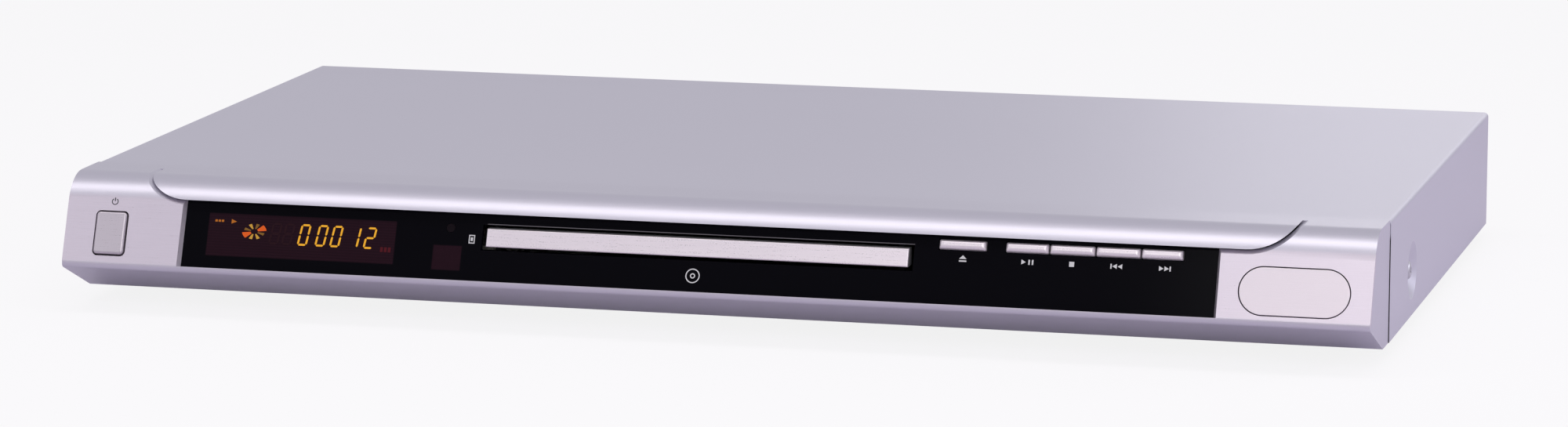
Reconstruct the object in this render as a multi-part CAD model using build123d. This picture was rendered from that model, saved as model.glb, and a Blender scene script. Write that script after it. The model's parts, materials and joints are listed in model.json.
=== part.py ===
from build123d import *
import math
import os

# A slim disc player with a motorised tray, 430 mm wide, as an assembly of separate pieces.
# Frame: +X to the right seen from the front, +Y to the back, +Z up, in millimetres. The origin is under
# the middle of the whole player, on the surface that its feet stand on. Most places below are given as
# x, depth behind the nose of the front moulding, and height above the underside of the body.

# ---------------------------------------------------------------- overall body
body_width = 430.0
body_height = 39.2
bezel_depth = 35.4  # sharp corner of the nose to the seam with the cover
cover_depth = 220.0
jack_reach = 8.0  # how far the rear jacks stand out behind the cover
foot_height = 5.0
foot_radius, foot_seat, foot_floor = 12.0, 4.2, 2.0
foot_inset = (40.0, 40.0)  # of the foot centres from the sides, and from the seam or the rear
sheet = 0.8  # steel of the cover, pan and rear panel
sheet_gap = 0.1
seam_gap = 0.35  # dark line between the moulding's ends and the cover's sides
cover_bend = 1.5

# ---------------------------------------------------------------- front moulding
bezel_inset = 0.2  # each end lies this far inside the cover's side
bezel_draft = 0.35  # extra inset of each end at the nose
bezel_wall = 1.7
nose_height = 10.6  # sharp corner of the nose above the underside
chin_depth = 25.2  # depth at which the sloping chin meets the underside
nose_radius = 2.0
shoulder_radius = 13.0  # between the leaning face and the flat top
face_lean = 21.56  # degrees
end_round = 1.0
bosses, boss_half, boss_length = (-190.0, -150.0, 150.0, 190.0), 4.0, 5.0  # that meet the pan's front wall
front_wall_high, front_wall_inner = 8.0, 140.0

# ---------------------------------------------------------------- window, (x, u) on the leaning face
window_left, window_right, window_low = -174.0, 165.5, 1.7
window_recess = bezel_wall + 0.1
window_flare = 0.9
panel_thickness = 1.6
panel_margin = 3.0
panel_high = 25.0
panel_gap = 0.3
cavity = 40.0  # length of a cut that runs right out of a piece

# ---------------------------------------------------------------- brow over the window
brow_drop = 6.45  # of its lower edge below the top
brow_flat = 174.0  # half the straight length of the lower edge
brow_curl = 19.6  # radius of the rising ends
brow_proud = 0.5  # how far it bulges in front of the shoulder
brow_back = 27.5
brow_wall = 1.5
brow_gap = 0.45
curl_chamfer = 1.2  # on the cheeks, along the brow's curled ends

# ---------------------------------------------------------------- front controls, (x, u) on the face
power_centre, power_size = (-198.75, 11.55), (10.3, 14.0)
power_gap, power_corner, power_proud, power_thickness = 0.5, 1.2, 1.0, 3.0
power_travel, power_stem = 1.5, 2.5
power_switch_at, power_board_at = 10.0, 14.0  # behind the face
power_switch_size, power_plunger, power_reach = 9.0, 1.8, 1.5  # and how far its plunger stands out
power_board_half, power_board_u = 11.0, (4.0, 19.0)
badge_centre, badge_size, badge_gap = (190.25, 10.9), (34.6, 15.1), 0.35
key_low, key_high = 19.55, 22.75
key_spans = {
    "open_close_button": (76.8, 92.0),
    "play_button": (98.2, 111.9),
    "stop_button": (112.3, 126.6),
    "skip_back_button": (127.0, 141.0),
    "skip_forward_button": (141.4, 154.6),
}
key_gap, key_proud, key_corner, key_depth, key_edge = 0.2, 1.3, 0.5, 0.8, 1.4
key_travel, key_stem = 0.8, 1.0
key_switch_at, key_board_at = 7.3, 10.8  # behind the face
key_switch_size, key_plunger, key_reach = (6.0, 5.5), 1.4, 0.8
key_board_span = (75.5, 159.5, 7.0, 24.0)
switch_clear = 0.3  # between a pressed button and the plunger behind it
display_span = (-166.0, -102.2, 6.2, 20.2)  # x low, x high, u low, u high
display_thickness, display_gap = 6.0, 0.3
receiver_span = (-89.1, -79.6, 5.2, 13.2)
lamp_centre, lamp_radius, lamp_gap = (-83.9, 19.0), 1.4, 0.1
board = 1.6  # thickness of every circuit board
peg_radius, peg_gap = 1.2, 3.4  # of the moulding's pegs beside the power button
panel_posts, panel_post_u, panel_post_radius = (95.1, 156.8), 11.0, 2.0  # that carry the key board

# ---------------------------------------------------------------- tray and its door
tray_x = -2.2  # the loader sits a little left of the middle
door_half, door_low, door_high = 69.4, 22.3, 27.9
door_proud, door_edge = 0.4, 0.4
slot_beside, slot_over = 1.6, 1.1  # room round the door in the panel
tray_half, tray_low, tray_high = 64.0, 22.4, 27.4
tray_front, tray_back, tray_corner = 12.0, 186.0, 4.0
disc_y = 80.0
pocket_radius, pocket_floor = 60.8, 24.4
small_pocket_radius, small_pocket_floor = 40.6, 23.7
hub_opening, pickup_slot_half = 19.0, 17.0
tray_travel = 140.0
guide_gap = 0.3

# ---------------------------------------------------------------- tray drive
pressure_angle = math.radians(20)
tooth_height = 0.75  # of a tooth outside the pitch circle, in modules
tooth_root = 1.1  # and inside it
backlash = 0.3
running = 0.05  # radial play of a shaft in its hole
rack_line = 66.0  # pitch line of the rack, left of the tray's middle
rack_module, rack_high = 1.0, 24.8
pinion_teeth = 16
wheel_module, wheel_teeth, pulley_teeth = 0.8, 40, 12
wheel_low, wheel_high = 18.3, 20.2
pulley_radius, motor_pulley_radius, pulley_flange = 11.0, 3.0, 0.8
belt_low, belt_high, belt_thickness, belt_edge = 16.0, 17.9, 1.2, 0.4
belt_span = 31.0
drive_y = 36.0
drive_pin = 1.5
deck_low, deck_high = 14.2, 15.7
motor_radius, motor_low, motor_shaft = 12.2, 2.9, 1.0

# ---------------------------------------------------------------- loader frame
wall = 2.0
frame_low, frame_high = 2.0, 28.5
frame_front, frame_back = 16.0, 200.0
rail_low, rail_width = 20.6, 5.0
tooth_clear = 0.6
lug_half, lug_high, lug_boss = 4.5, 3.0, 3.6
toe_room = 2.3  # between the front moulding's chin and the walls' cut-away toes
floor_gap = 0.3  # between the moulding's floor and the walls that stand over it

# ---------------------------------------------------------------- cradle with the pickup, drawn raised
lift_angle = 3.38  # degrees that the cradle swings up to meet a disc
pivot_y, pivot_z, pivot_radius = 175.0, 12.0, 1.5
cradle_half, cradle_front, cradle_back, cradle_rail = 33.0, 58.0, 184.0, 4.0
cradle_low, cradle_high, cradle_rim = 12.0, 14.0, 18.5
spindle_radius, spindle_high, spindle_shaft, spindle_hole = 10.5, 21.4, 1.0, 4.0
turntable_low, turntable_high, turntable_radius = 23.4, 25.4, 15.0
hub_radius, hub_height = 7.3, 2.0
rod_radius, rod_z, rod_offset, rod_seat = 1.5, 16.0, 24.0, 3.0
rod_front, rod_spare = 93.0, 9.0  # foremost seat, and length left behind the sled when it is furthest back
sled_half_width, sled_half_depth, sled_low, sled_high = 27.6, 12.0, 14.4, 19.0
sled_rest, sled_travel = 27.0, 34.0  # lens behind the spindle
lens_half, lens_base, lens_radius, lens_high = 9.0, 20.6, 4.0, 22.6
screw_offset, screw_radius = 14.0, 1.5
sled_motor_radius, sled_motor_length = 5.4, 10.0
cam_front, cam_thickness, cam_low, cam_high, cam_half = 51.6, 2.4, 3.1, 16.8, 36.0
cam_travel = 10.0
cam_pin_x, cam_pin_radius, cam_pin_z, cam_clear = 22.0, 1.2, 13.0, 0.3
strip_high, rib_high, rib = 2.8, 4.2, 1.8

# ---------------------------------------------------------------- clamp over the disc
bridge_front, bridge_back, bridge_low, bridge_thickness = 60.0, 100.0, 30.0, 1.0
bridge_tab = 7.0
puck_low, puck_radius, puck_neck, puck_gap = 27.9, 13.0, 8.0, 0.4
puck_flange = 1.5

# ---------------------------------------------------------------- boards and their parts
standoff, standoff_radius, screw_hole = 7.0, 3.0, 1.5
screw_shank, screw_head, head_height = 1.4, 3.0, 1.5
board_screw, cover_screw, foot_screw, loader_screw = 5.0, 5.0, 3.2, 4.0  # shank lengths
main_x, main_front = (84.0, 206.0), 95.0
supply_x, supply_front = (-206.0, -100.0), 120.0
board_rear_gap = 7.6  # between the level boards and the rear of the pan
board_inset = 5.0
jack_columns, jack_rows = (104.0, 118.0, 132.0), (13.5, 27.5)
jack_radius, jack_collar, jack_bore, jack_pitch, jack_clear = 4.15, 4.6, 1.7, 14.0, 0.3
optical_x, optical_half, optical_high, optical_wall = 156.0, 5.0, 19.2, 1.8
inlet_inset, inlet_z = 21.0, 21.0
inlet_size, socket_size, socket_depth = (26.0, 15.0), (19.4, 8.6), 12.0
wire_radius, wire_pitch, wires, harness_front, wire_low = 0.8, 2.5, 4, 214.0, 3.0
cable_x, cable_u, cable_width, cable_thickness = 112.0, 12.0, 18.0, 0.5
transformer_at, transformer_core, transformer_bobbin = (-150.0, 185.0), (32.0, 26.0), (22.0, 20.0)
heatsink_at, heatsink_size, heatsink_high = (-155.0, 145.0), (40.0, 3.0), 24.0
fins, fin_pitch, fin_size = 7, 5.8, (1.4, 9.0)

# ---------------------------------------------------------------- screws at the sides, rear and feet
dimple_y, dimple_z = 82.4, 14.7
dimple_outer, dimple_inner, dimple_depth = 9.4, 5.4, 2.0
lip_height = 7.0
lip_screws = (-180.0, 0.0, 180.0)
vents, vent_first, vent_pitch, vent_width, vent_span = 12, -70.0, 7.0, 2.5, (12.0, 26.0)
lug_places = ((-1, 63.0), (-1, 191.0), (1, 63.0), (1, 191.0))  # side, depth

# ---------------------------------------------------------------- worked out
lean = math.radians(face_lean)
chin = math.atan2(nose_height, chin_depth)
nose_trim = nose_radius * ((math.sin(lean) + math.cos(chin)) / math.cos(chin - lean) - 1)
overall_depth = bezel_depth - nose_trim + cover_depth + jack_reach
half_width = body_width / 2
cover_back = bezel_depth + cover_depth
lip_screw_z = body_height - lip_height / 2
panel_low = window_low + panel_gap
panel_back = window_recess + panel_thickness
pan_half = half_width - sheet - sheet_gap
pan_front = bezel_depth + seam_gap
pan_back = cover_back - 2 * (sheet + sheet_gap)
front_stack = panel_back + display_gap
front_board_at = front_stack + display_thickness + display_gap
board_top = standoff + board
main_span = (*main_x, main_front, pan_back - board_rear_gap)
supply_span = (*supply_x, supply_front, pan_back - board_rear_gap)
inlet_x = supply_x[0] + inlet_inset
brow_low = body_height - brow_drop
rod_back = disc_y + sled_rest + sled_travel + sled_half_depth + rod_spare
wheel_pitch = wheel_module * wheel_teeth / 2
pinion_pitch = rack_module * pinion_teeth / 2
pulley_pitch = wheel_module * pulley_teeth / 2
drive_x = tray_x - rack_line - pinion_pitch
pulley_x = drive_x + wheel_pitch + pulley_pitch
motor_x = pulley_x + belt_span
rack_tip = rack_line + tooth_height * rack_module
rack_root = rack_line - tooth_root * rack_module
left_wall = (tray_x - rack_tip - guide_gap - wall, tray_x - rack_tip - guide_gap)
right_wall = (tray_x + tray_half + guide_gap, tray_x + tray_half + guide_gap + wall)


def y_at(depth):
    """Place along Y of a depth behind the sharp corner of the nose."""
    return depth - nose_trim - overall_depth / 2


def z_at(height):
    """Place along Z of a height above the underside of the body."""
    return foot_height + height


def block(x, y, z):
    """A box from two limits each in x, depth and height, in either order."""
    size = (abs(x[1] - x[0]), abs(y[1] - y[0]), abs(z[1] - z[0]))
    return Pos((x[0] + x[1]) / 2, y_at((y[0] + y[1]) / 2), z_at((z[0] + z[1]) / 2)) * Box(*size)


def post(x, y, z, radius):
    """An upright round bar between two heights."""
    return Pos(x, y_at(y), z_at((z[0] + z[1]) / 2)) * Cylinder(radius, abs(z[1] - z[0]))


def bar_x(x, y, z, radius):
    """A round bar along X."""
    return Pos((x[0] + x[1]) / 2, y_at(y), z_at(z)) * Rot(0, 90, 0) * Cylinder(radius, abs(x[1] - x[0]))


def bar_y(x, y, z, radius):
    """A round bar along Y."""
    return Pos(x, y_at((y[0] + y[1]) / 2), z_at(z)) * Rot(90, 0, 0) * Cylinder(radius, abs(y[1] - y[0]))


def face_depth(height, behind=0.0):
    """Depth at a height of the leaning face, or of the plane that lies behind it."""
    return (height - nose_height) * math.tan(lean) + behind / math.cos(lean)


face_normal = (0, -math.cos(lean), math.sin(lean))
face = Plane(origin=(0, y_at(0), z_at(nose_height)), x_dir=(1, 0, 0), z_dir=face_normal)


def on_face(centre, size, corner, front, back):
    """A rounded plate parallel to the face, between two distances behind it."""
    outline = face.offset(-back) * Pos(*centre) * RectangleRounded(*size, corner)
    return extrude(outline, amount=back - front)


def slab(span, front, back):
    """A plain plate parallel to the face, its span given as x low, x high, u low, u high."""
    centre = ((span[0] + span[1]) / 2, (span[2] + span[3]) / 2)
    outline = face.offset(-back) * Pos(*centre) * Rectangle(span[1] - span[0], span[3] - span[2])
    return extrude(outline, amount=back - front)


def peg(x, u, front, back, radius):
    """A round peg square to the face."""
    outline = face.offset(-back) * Pos(x, u) * Circle(radius)
    return extrude(outline, amount=back - front)


def front_edges(piece):
    """The edges of a piece's foremost face parallel to the leaning face."""
    return piece.faces().sort_by(Axis(origin=(0, 0, 0), direction=face.z_dir))[-1].edges()


# ---------------------------------------------------------------- casing
def moulding_section(inward):
    """The front moulding's section, from the seam round the nose, with a wall of that much taken off."""
    shift = inward / math.cos(lean)
    rise, slope = math.tan(lean), math.tan(chin)
    top = body_height - inward
    low_y = chin_depth + inward * (1 / math.sin(chin) - 1 / math.tan(chin))
    nose_y = (slope * low_y + inward - nose_height + shift / rise) / (1 / rise + slope)
    nose_z = nose_height + (nose_y - shift) / rise
    crown_y = face_depth(top, inward)
    points = [(bezel_depth, inward), (low_y, inward), (nose_y, nose_z), (crown_y, top), (bezel_depth, top)]
    section = make_face(Polyline(*[(y_at(y), z_at(z)) for y, z in points], close=True))
    for at, radius in ((points[2], max(nose_radius - inward, 0.3)), (points[3], shoulder_radius - inward)):
        corner = section.vertices().sort_by_distance((y_at(at[0]), z_at(at[1]), 0))[0]
        section = fillet(corner, radius)
    return section


def along_width(section, half):
    """A YZ section extruded to both sides of the middle."""
    return extrude(Plane.YZ * section, amount=half, both=True)


def brow_space(gap, back):
    """All that lies over the brow's lower edge and its curled ends, as far back as its rear edge."""
    radius = brow_curl + gap
    centre_z, high = z_at(brow_low) + brow_curl, z_at(body_height) + 1
    reach = brow_flat + math.sqrt(radius**2 - (centre_z - high) ** 2)
    half_turn = math.acos((centre_z - high) / radius) / 2
    middle = (brow_flat + radius * math.sin(half_turn), centre_z - radius * math.cos(half_turn))
    low = centre_z - radius
    edges = [
        Line((-brow_flat, low), (brow_flat, low)),
        ThreePointArc((brow_flat, low), middle, (reach, high)),
        Line((reach, high), (-reach, high)),
        ThreePointArc((-reach, high), (-middle[0], middle[1]), (-brow_flat, low)),
    ]
    plane = Plane(origin=(0, y_at(back), 0), x_dir=(1, 0, 0), z_dir=(0, -1, 0))
    return extrude(plane * make_face(edges), amount=back + cavity)


def window_opening():
    """The window's splayed opening, cut right through the face below the brow."""
    rings = []
    for splay, plane in ((window_flare, face), (0.0, face.offset(-bezel_wall))):
        left, right = window_left - splay, window_right + splay
        centre = ((left + right) / 2, window_low + cavity / 2)
        rings.append(plane * Pos(*centre) * Rectangle(right - left, cavity))
    cut = loft(rings) + extrude(rings[0], amount=shoulder_radius) + extrude(rings[1], amount=-shoulder_radius)
    return cut & block((-half_width, half_width), (-cavity, brow_back), (0, brow_low))


def beside_brow(edge):
    """Whether an edge is one of the cheeks' outer edges along the brow's curled ends."""
    centre_z, radius = z_at(brow_low) + brow_curl, brow_curl + brow_gap
    ends = [edge @ place for place in (0.0, 0.5, 1.0)]
    if any(abs(at.X) < brow_flat - 0.01 for at in ends):
        return False
    reaches = [math.hypot(abs(at.X) - brow_flat, at.Z - centre_z) for at in ends]
    outer = max(at.Z for at in ends) > z_at(body_height) - 0.01
    along = min(at.Y for at in ends) < y_at(brow_back) - 1
    return outer and along and all(abs(reach - radius) < 0.02 for reach in reaches)


def front_bezel():
    """The silver front moulding, with its cheeks, chin and top rail round the window and the brow."""
    half = half_width - bezel_inset
    plan = make_face(
        Polyline(
            (-half, y_at(bezel_depth)),
            (-half + bezel_draft, y_at(0)),
            (half - bezel_draft, y_at(0)),
            (half, y_at(bezel_depth)),
            close=True,
        )
    )
    plan = fillet(plan.vertices().sort_by(Axis.Y)[:2], end_round)
    shell = along_width(moulding_section(0.0), half) & extrude(plan, amount=z_at(body_height))
    hollow = along_width(moulding_section(bezel_wall), half - bezel_draft - bezel_wall)
    shell = shell - hollow - window_opening() - brow_space(brow_gap, brow_back)
    shell = chamfer(shell.edges().filter_by(beside_brow), curl_chamfer)
    for centre, size, corner, gap in (
        (power_centre, power_size, power_corner, power_gap),
        (badge_centre, badge_size, badge_size[1] / 2 - 0.01, badge_gap),
    ):
        hole = (size[0] + 2 * gap, size[1] + 2 * gap)
        shell = shell - on_face(centre, hole, corner + gap, -1, bezel_wall + 1)
    boss_span, boss_rise = (bezel_depth - boss_length, bezel_depth), (bezel_wall / 2, front_wall_high)
    for x in bosses:
        shell = shell + block((x - boss_half, x + boss_half), boss_span, boss_rise)
    for side in (-1, 1):
        x = power_centre[0] + side * (power_size[0] / 2 + peg_gap)
        shell = shell + peg(x, power_centre[1], bezel_wall / 2, power_board_at, peg_radius)
    return shell


def brow_trim():
    """The rolled silver strip that hoods the window, a skin that follows the shoulder."""
    outer = Pos(-brow_proud, 0) * moulding_section(0.0)
    inner = Pos(-brow_proud, 0) * moulding_section(brow_wall)
    skin = along_width(outer, half_width) - along_width(inner, half_width + 1)
    trim = skin & brow_space(0.0, brow_back)
    return trim & block((-half_width, half_width), (-cavity, brow_back), (brow_low, body_height))


def window_panel():
    """The black panel behind the window, with the tray's slot and the holes for the keys and the lamp."""
    span = (window_left - panel_margin, window_right + panel_margin, panel_low, panel_high)
    panel = slab(span, window_recess, panel_back)
    slot = (tray_x - door_half - slot_beside, tray_x + door_half + slot_beside)
    panel = panel - block(slot, (0, cavity), (door_low - slot_over, door_high + slot_over))
    for low, high in key_spans.values():
        hole = (low - key_gap, high + key_gap, key_low - key_gap, key_high + key_gap)
        panel = panel - slab(hole, 0, panel_back + 1)
    panel = panel - peg(*lamp_centre, 0, panel_back + 1, lamp_radius + lamp_gap)
    for x in panel_posts:
        panel = panel + peg(x, panel_post_u, panel_back - 0.5, key_board_at, panel_post_radius)
    return panel


def oval_badge_plate():
    """The blank oval plate on the right cheek."""
    plate = on_face(badge_centre, badge_size, badge_size[1] / 2 - 0.01, 0, bezel_wall)
    return fillet(front_edges(plate), 0.15)


def power_button():
    """The tall power button, with the stem that reaches towards its switch."""
    cap = on_face(power_centre, power_size, power_corner, -power_proud, power_thickness)
    tip = power_switch_at - power_reach - switch_clear - power_travel
    return fillet(front_edges(cap), 0.8) + peg(*power_centre, power_thickness - 0.5, tip, power_stem)


def power_switch():
    """The push switch behind the power button."""
    body = on_face(power_centre, (power_switch_size, power_switch_size), 0.6, power_switch_at, power_board_at)
    return body + peg(*power_centre, power_switch_at - power_reach, power_switch_at + 0.2, power_plunger)


def key_button(low, high):
    """One silver key, with the stem that reaches towards its switch."""
    middle = ((low + high) / 2, (key_low + key_high) / 2)
    front, back = window_recess - key_proud, panel_back + key_depth
    cap = on_face(middle, (high - low, key_high - key_low), key_corner, front, back)
    tip = key_switch_at - key_reach - switch_clear - key_travel
    return fillet(front_edges(cap), key_edge) + peg(*middle, back - 0.3, tip, key_stem)


def key_switches():
    """A small push switch behind each key, standing on the key board."""
    switches = []
    for low, high in key_spans.values():
        middle = ((low + high) / 2, (key_low + key_high) / 2)
        body = on_face(middle, key_switch_size, 0.4, key_switch_at, key_board_at)
        switches.append(body + peg(*middle, key_switch_at - key_reach, key_switch_at + 0.2, key_plunger))
    return switches


def top_cover():
    """The folded steel cover, with a dished screw seat in each side and a lip down the rear panel."""

    def tunnel(inward):
        outline = Rectangle(body_width - 2 * inward, body_height)
        outline = fillet(outline.vertices().group_by(Axis.Y)[-1], cover_bend - inward)
        plane = Plane(origin=(0, y_at(cover_back), 0), x_dir=(1, 0, 0), z_dir=(0, -1, 0))
        return extrude(plane * Pos(0, z_at(body_height / 2) - inward) * outline, amount=cover_depth)

    cover = tunnel(0.0) - tunnel(sheet)
    sides = (0, body_height - cover_bend)
    cover = cover - block((-half_width, half_width), (bezel_depth, bezel_depth + seam_gap), sides)
    lip_span = (body_height - lip_height, body_height - sheet / 2)
    lip = block((-pan_half, pan_half), (cover_back - sheet, cover_back), lip_span)
    for x in lip_screws:
        lip = lip - bar_y(x, (cover_back - 2, cover_back + 1), lip_screw_z, screw_hole)
    cover = cover + lip
    for side in (-1, 1):
        at = Pos(side * half_width, y_at(dimple_y), z_at(dimple_z)) * Rot(0, -90 * side, 0)
        deep = dimple_depth + sheet
        cup = Pos(0, 0, deep / 2) * Cone(dimple_outer + sheet / 2, dimple_inner + sheet / 2, deep)
        bowl = Pos(0, 0, dimple_depth / 2) * Cone(dimple_outer, dimple_inner, dimple_depth)
        cover = cover + at * cup - at * bowl
        hole = (side * (half_width - 5), side * (half_width + 5))
        cover = cover - bar_x(hole, dimple_y, dimple_z, screw_hole)
    return cover


def standoff_places(span):
    """The four corner screws of a board."""
    x = (span[0] + board_inset, span[1] - board_inset)
    y = (span[2] + board_inset, span[3] - board_inset)
    return [(a, b) for a in x for b in y]


def foot_places():
    """The four foot centres, left ones first."""
    x = half_width - foot_inset[0]
    return [(a, b) for a in (-x, x) for b in (bezel_depth + foot_inset[1], cover_back - foot_inset[1])]


def lug_x(side):
    """Middle of a mounting lug outside the loader's left or right wall."""
    return left_wall[0] - lug_half if side < 0 else right_wall[1] + lug_half


def chassis_pan():
    """The folded steel pan, with the standoffs, bosses and side tabs that everything is screwed to."""
    pan = block((-pan_half, pan_half), (pan_front, pan_back), (0, sheet))
    pan = pan + block((-pan_half, pan_half), (pan_back - sheet, pan_back), (0, 4))
    for side in (-1, 1):
        flange = (side * pan_half, side * (pan_half - sheet))
        pan = pan + block(flange, (pan_front, pan_back), (0, dimple_z - dimple_outer - 1))
        front_wall = (front_wall_inner * side, pan_half * side)
        pan = pan + block(front_wall, (pan_front, pan_front + sheet), (0, front_wall_high))
        tab = side * (half_width - dimple_depth - sheet - sheet_gap)
        pan = pan + block((tab, tab - side * sheet), (dimple_y - 7, dimple_y + 7), (0, dimple_z + 6))
        pan = pan - bar_x((tab + side, tab - side * (sheet + 1)), dimple_y, dimple_z, screw_hole)
    for x, y in standoff_places(main_span) + standoff_places(supply_span):
        pan = pan + post(x, y, (sheet / 2, standoff), standoff_radius)
        pan = pan - post(x, y, (sheet, standoff + 1), screw_hole)
    for side, y in lug_places:
        pan = pan + post(lug_x(side), y, (sheet / 2, frame_low), lug_boss)
        pan = pan - post(lug_x(side), y, (-1, frame_low + 1), screw_hole)
    for x, y in foot_places():
        pan = pan - post(x, y, (-1, 2), screw_hole)
    return pan


def rear_panel():
    """The rear panel, with the holes for its sockets and a row of vents."""
    back = cover_back - sheet - sheet_gap
    through = (back - sheet - 1, back + 1)
    panel = block((-pan_half, pan_half), (back - sheet, back), (0, body_height - sheet - sheet_gap))
    panel = fillet(panel.edges().filter_by(Axis.Y).group_by(Axis.Z)[-1], cover_bend)
    for x in jack_columns:
        for z in jack_rows:
            panel = panel - bar_y(x, through, z, jack_collar + jack_clear)
    half_x, half_z = inlet_size[0] / 2 + 0.2, inlet_size[1] / 2 + 0.2
    panel = panel - block((inlet_x - half_x, inlet_x + half_x), through, (inlet_z - half_z, inlet_z + half_z))
    optical = (optical_x - optical_half - 0.3, optical_x + optical_half + 0.3)
    panel = panel - block(optical, through, (board_top - 0.2, optical_high + 0.2))
    for x in lip_screws:
        panel = panel - bar_y(x, through, lip_screw_z, screw_hole)
    for step in range(vents):
        x = vent_first + vent_pitch * step
        panel = panel - block((x - vent_width / 2, x + vent_width / 2), through, vent_span)
    return panel


def feet():
    """Four round feet, each with a deep seat for its screw."""
    made = []
    for x, y in foot_places():
        foot = post(x, y, (-foot_height, 0), foot_radius)
        foot = chamfer(foot.faces().sort_by(Axis.Z)[0].edges(), 1.0)
        foot = foot - post(x, y, (-foot_height - 1, -foot_floor), foot_seat)
        made.append(foot - post(x, y, (-foot_floor - 1, 1), screw_hole))
    return made


def screw(along, x, y, z, length, head_side):
    """A screw seated at x, y, z, its head on that side of the seat and its shank on the other."""
    shank, head = (0, -head_side * length), (0, head_side * head_height)
    if along == "z":
        spans = [(z + end[0], z + end[1]) for end in (shank, head)]
        return post(x, y, spans[0], screw_shank) + post(x, y, spans[1], screw_head)
    if along == "y":
        spans = [(y + end[0], y + end[1]) for end in (shank, head)]
        return bar_y(x, spans[0], z, screw_shank) + bar_y(x, spans[1], z, screw_head)
    spans = [(x + end[0], x + end[1]) for end in (shank, head)]
    return bar_x(spans[0], y, z, screw_shank) + bar_x(spans[1], y, z, screw_head)


def cover_screws():
    """One screw in each side of the cover and three in its rear lip."""
    seat = half_width - dimple_depth
    sides = [screw("x", side * seat, dimple_y, dimple_z, cover_screw, side) for side in (-1, 1)]
    return sides + [screw("y", x, cover_back, lip_screw_z, cover_screw, 1) for x in lip_screws]


def foot_screws():
    """One screw up through each foot."""
    return [screw("z", x, y, -foot_floor, foot_screw, -1) for x, y in foot_places()]


def loader_screws():
    """One screw down through each of the loader's lugs."""
    return [screw("z", lug_x(side), y, frame_low + lug_high, loader_screw, 1) for side, y in lug_places]


# ---------------------------------------------------------------- tray and gears
def gear_outline(module, teeth, tooth_at):
    """An involute spur gear's outline, with one tooth centred tooth_at degrees from +X."""
    pitch = module * teeth / 2
    base = pitch * math.cos(pressure_angle)
    root, tip = pitch - tooth_root * module, pitch + tooth_height * module

    def half_tooth(radius):
        angle = math.acos(base / radius)
        at_pitch = math.pi / (2 * teeth) - backlash / (4 * pitch)
        return at_pitch + math.tan(pressure_angle) - pressure_angle - math.tan(angle) + angle

    start = max(base, root)
    radii = [start + (tip - start) * step / 4 for step in range(5)]
    flank = [(root, half_tooth(start))] if root < start else []
    flank = flank + [(radius, half_tooth(radius)) for radius in radii]
    points = []
    for tooth in range(teeth):
        centre = math.radians(tooth_at) + 2 * math.pi * tooth / teeth
        rising = [(radius, centre - half) for radius, half in flank]
        falling = [(radius, centre + half) for radius, half in reversed(flank)]
        points += [(radius * math.cos(angle), radius * math.sin(angle)) for radius, angle in rising + falling]
    return make_face(Polyline(*points, close=True))


def gear(x, y, z, module, teeth, tooth_at):
    """A spur gear between two heights."""
    return Pos(x, y_at(y), z_at(z[0])) * extrude(gear_outline(module, teeth, tooth_at), amount=z[1] - z[0])


def rack_teeth():
    """The tray's rack, with a tooth level with the pinion when the tray is shut."""
    pitch = math.pi * rack_module
    half = pitch / 4 - backlash / 4
    root_half = half + tooth_root * rack_module * math.tan(pressure_angle)
    tip_half = half - tooth_height * rack_module * math.tan(pressure_angle)
    first = drive_y - 2 * pitch
    count = int((tray_travel + 4 * pitch) / pitch) + 1
    root_x, tip_x = tray_x - rack_root, tray_x - rack_tip
    points = [(root_x + 1, y_at(first - pitch / 2))]
    for tooth in range(count):
        centre = y_at(first + tooth * pitch)
        steps = ((root_x, -root_half), (tip_x, -tip_half), (tip_x, tip_half), (root_x, root_half))
        points += [(x, centre + offset) for x, offset in steps]
    points.append((root_x + 1, y_at(first + (count - 0.5) * pitch)))
    outline = make_face(Polyline(*points, close=True))
    return Pos(0, 0, z_at(tray_low)) * extrude(outline, amount=rack_high - tray_low)


def disc_tray():
    """The tray, with its stepped disc well, the opening for the pickup and the rack on its left edge."""
    tray = block((tray_x - rack_root, tray_x + tray_half), (tray_front, tray_back), (tray_low, tray_high))
    tray = fillet(tray.edges().filter_by(Axis.Z).group_by(Axis.Y)[-1], tray_corner)
    tray = tray - post(tray_x, disc_y, (pocket_floor, tray_high + 1), pocket_radius)
    tray = tray - post(tray_x, disc_y, (small_pocket_floor, tray_high), small_pocket_radius)
    through = (tray_low - 1, tray_high + 1)
    slot = (tray_x - pickup_slot_half, tray_x + pickup_slot_half)
    tray = tray - post(tray_x, disc_y, through, hub_opening)
    tray = tray - block(slot, (disc_y, disc_y + pocket_radius + 4), through)
    return tray + rack_teeth()


def tray_fascia():
    """The silver door on the front of the tray, which leans with the panel."""
    front_low = face_depth(door_low, window_recess - door_proud)
    front_high = face_depth(door_high, window_recess - door_proud)
    points = [(front_low, door_low), (front_high, door_high), (tray_front, door_high), (tray_front, door_low)]
    section = make_face(Polyline(*[(y_at(y), z_at(z)) for y, z in points], close=True))
    return fillet(front_edges(Pos(tray_x, 0, 0) * along_width(section, door_half)), door_edge)


def pulley(x, radius):
    """A flanged belt pulley."""
    made = post(x, drive_y, (belt_low, belt_high), radius + pulley_flange)
    groove = post(x, drive_y, (belt_low + belt_edge, belt_high - belt_edge), radius + pulley_flange + 1)
    return made - (groove - post(x, drive_y, (belt_low, belt_high), radius))


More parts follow.
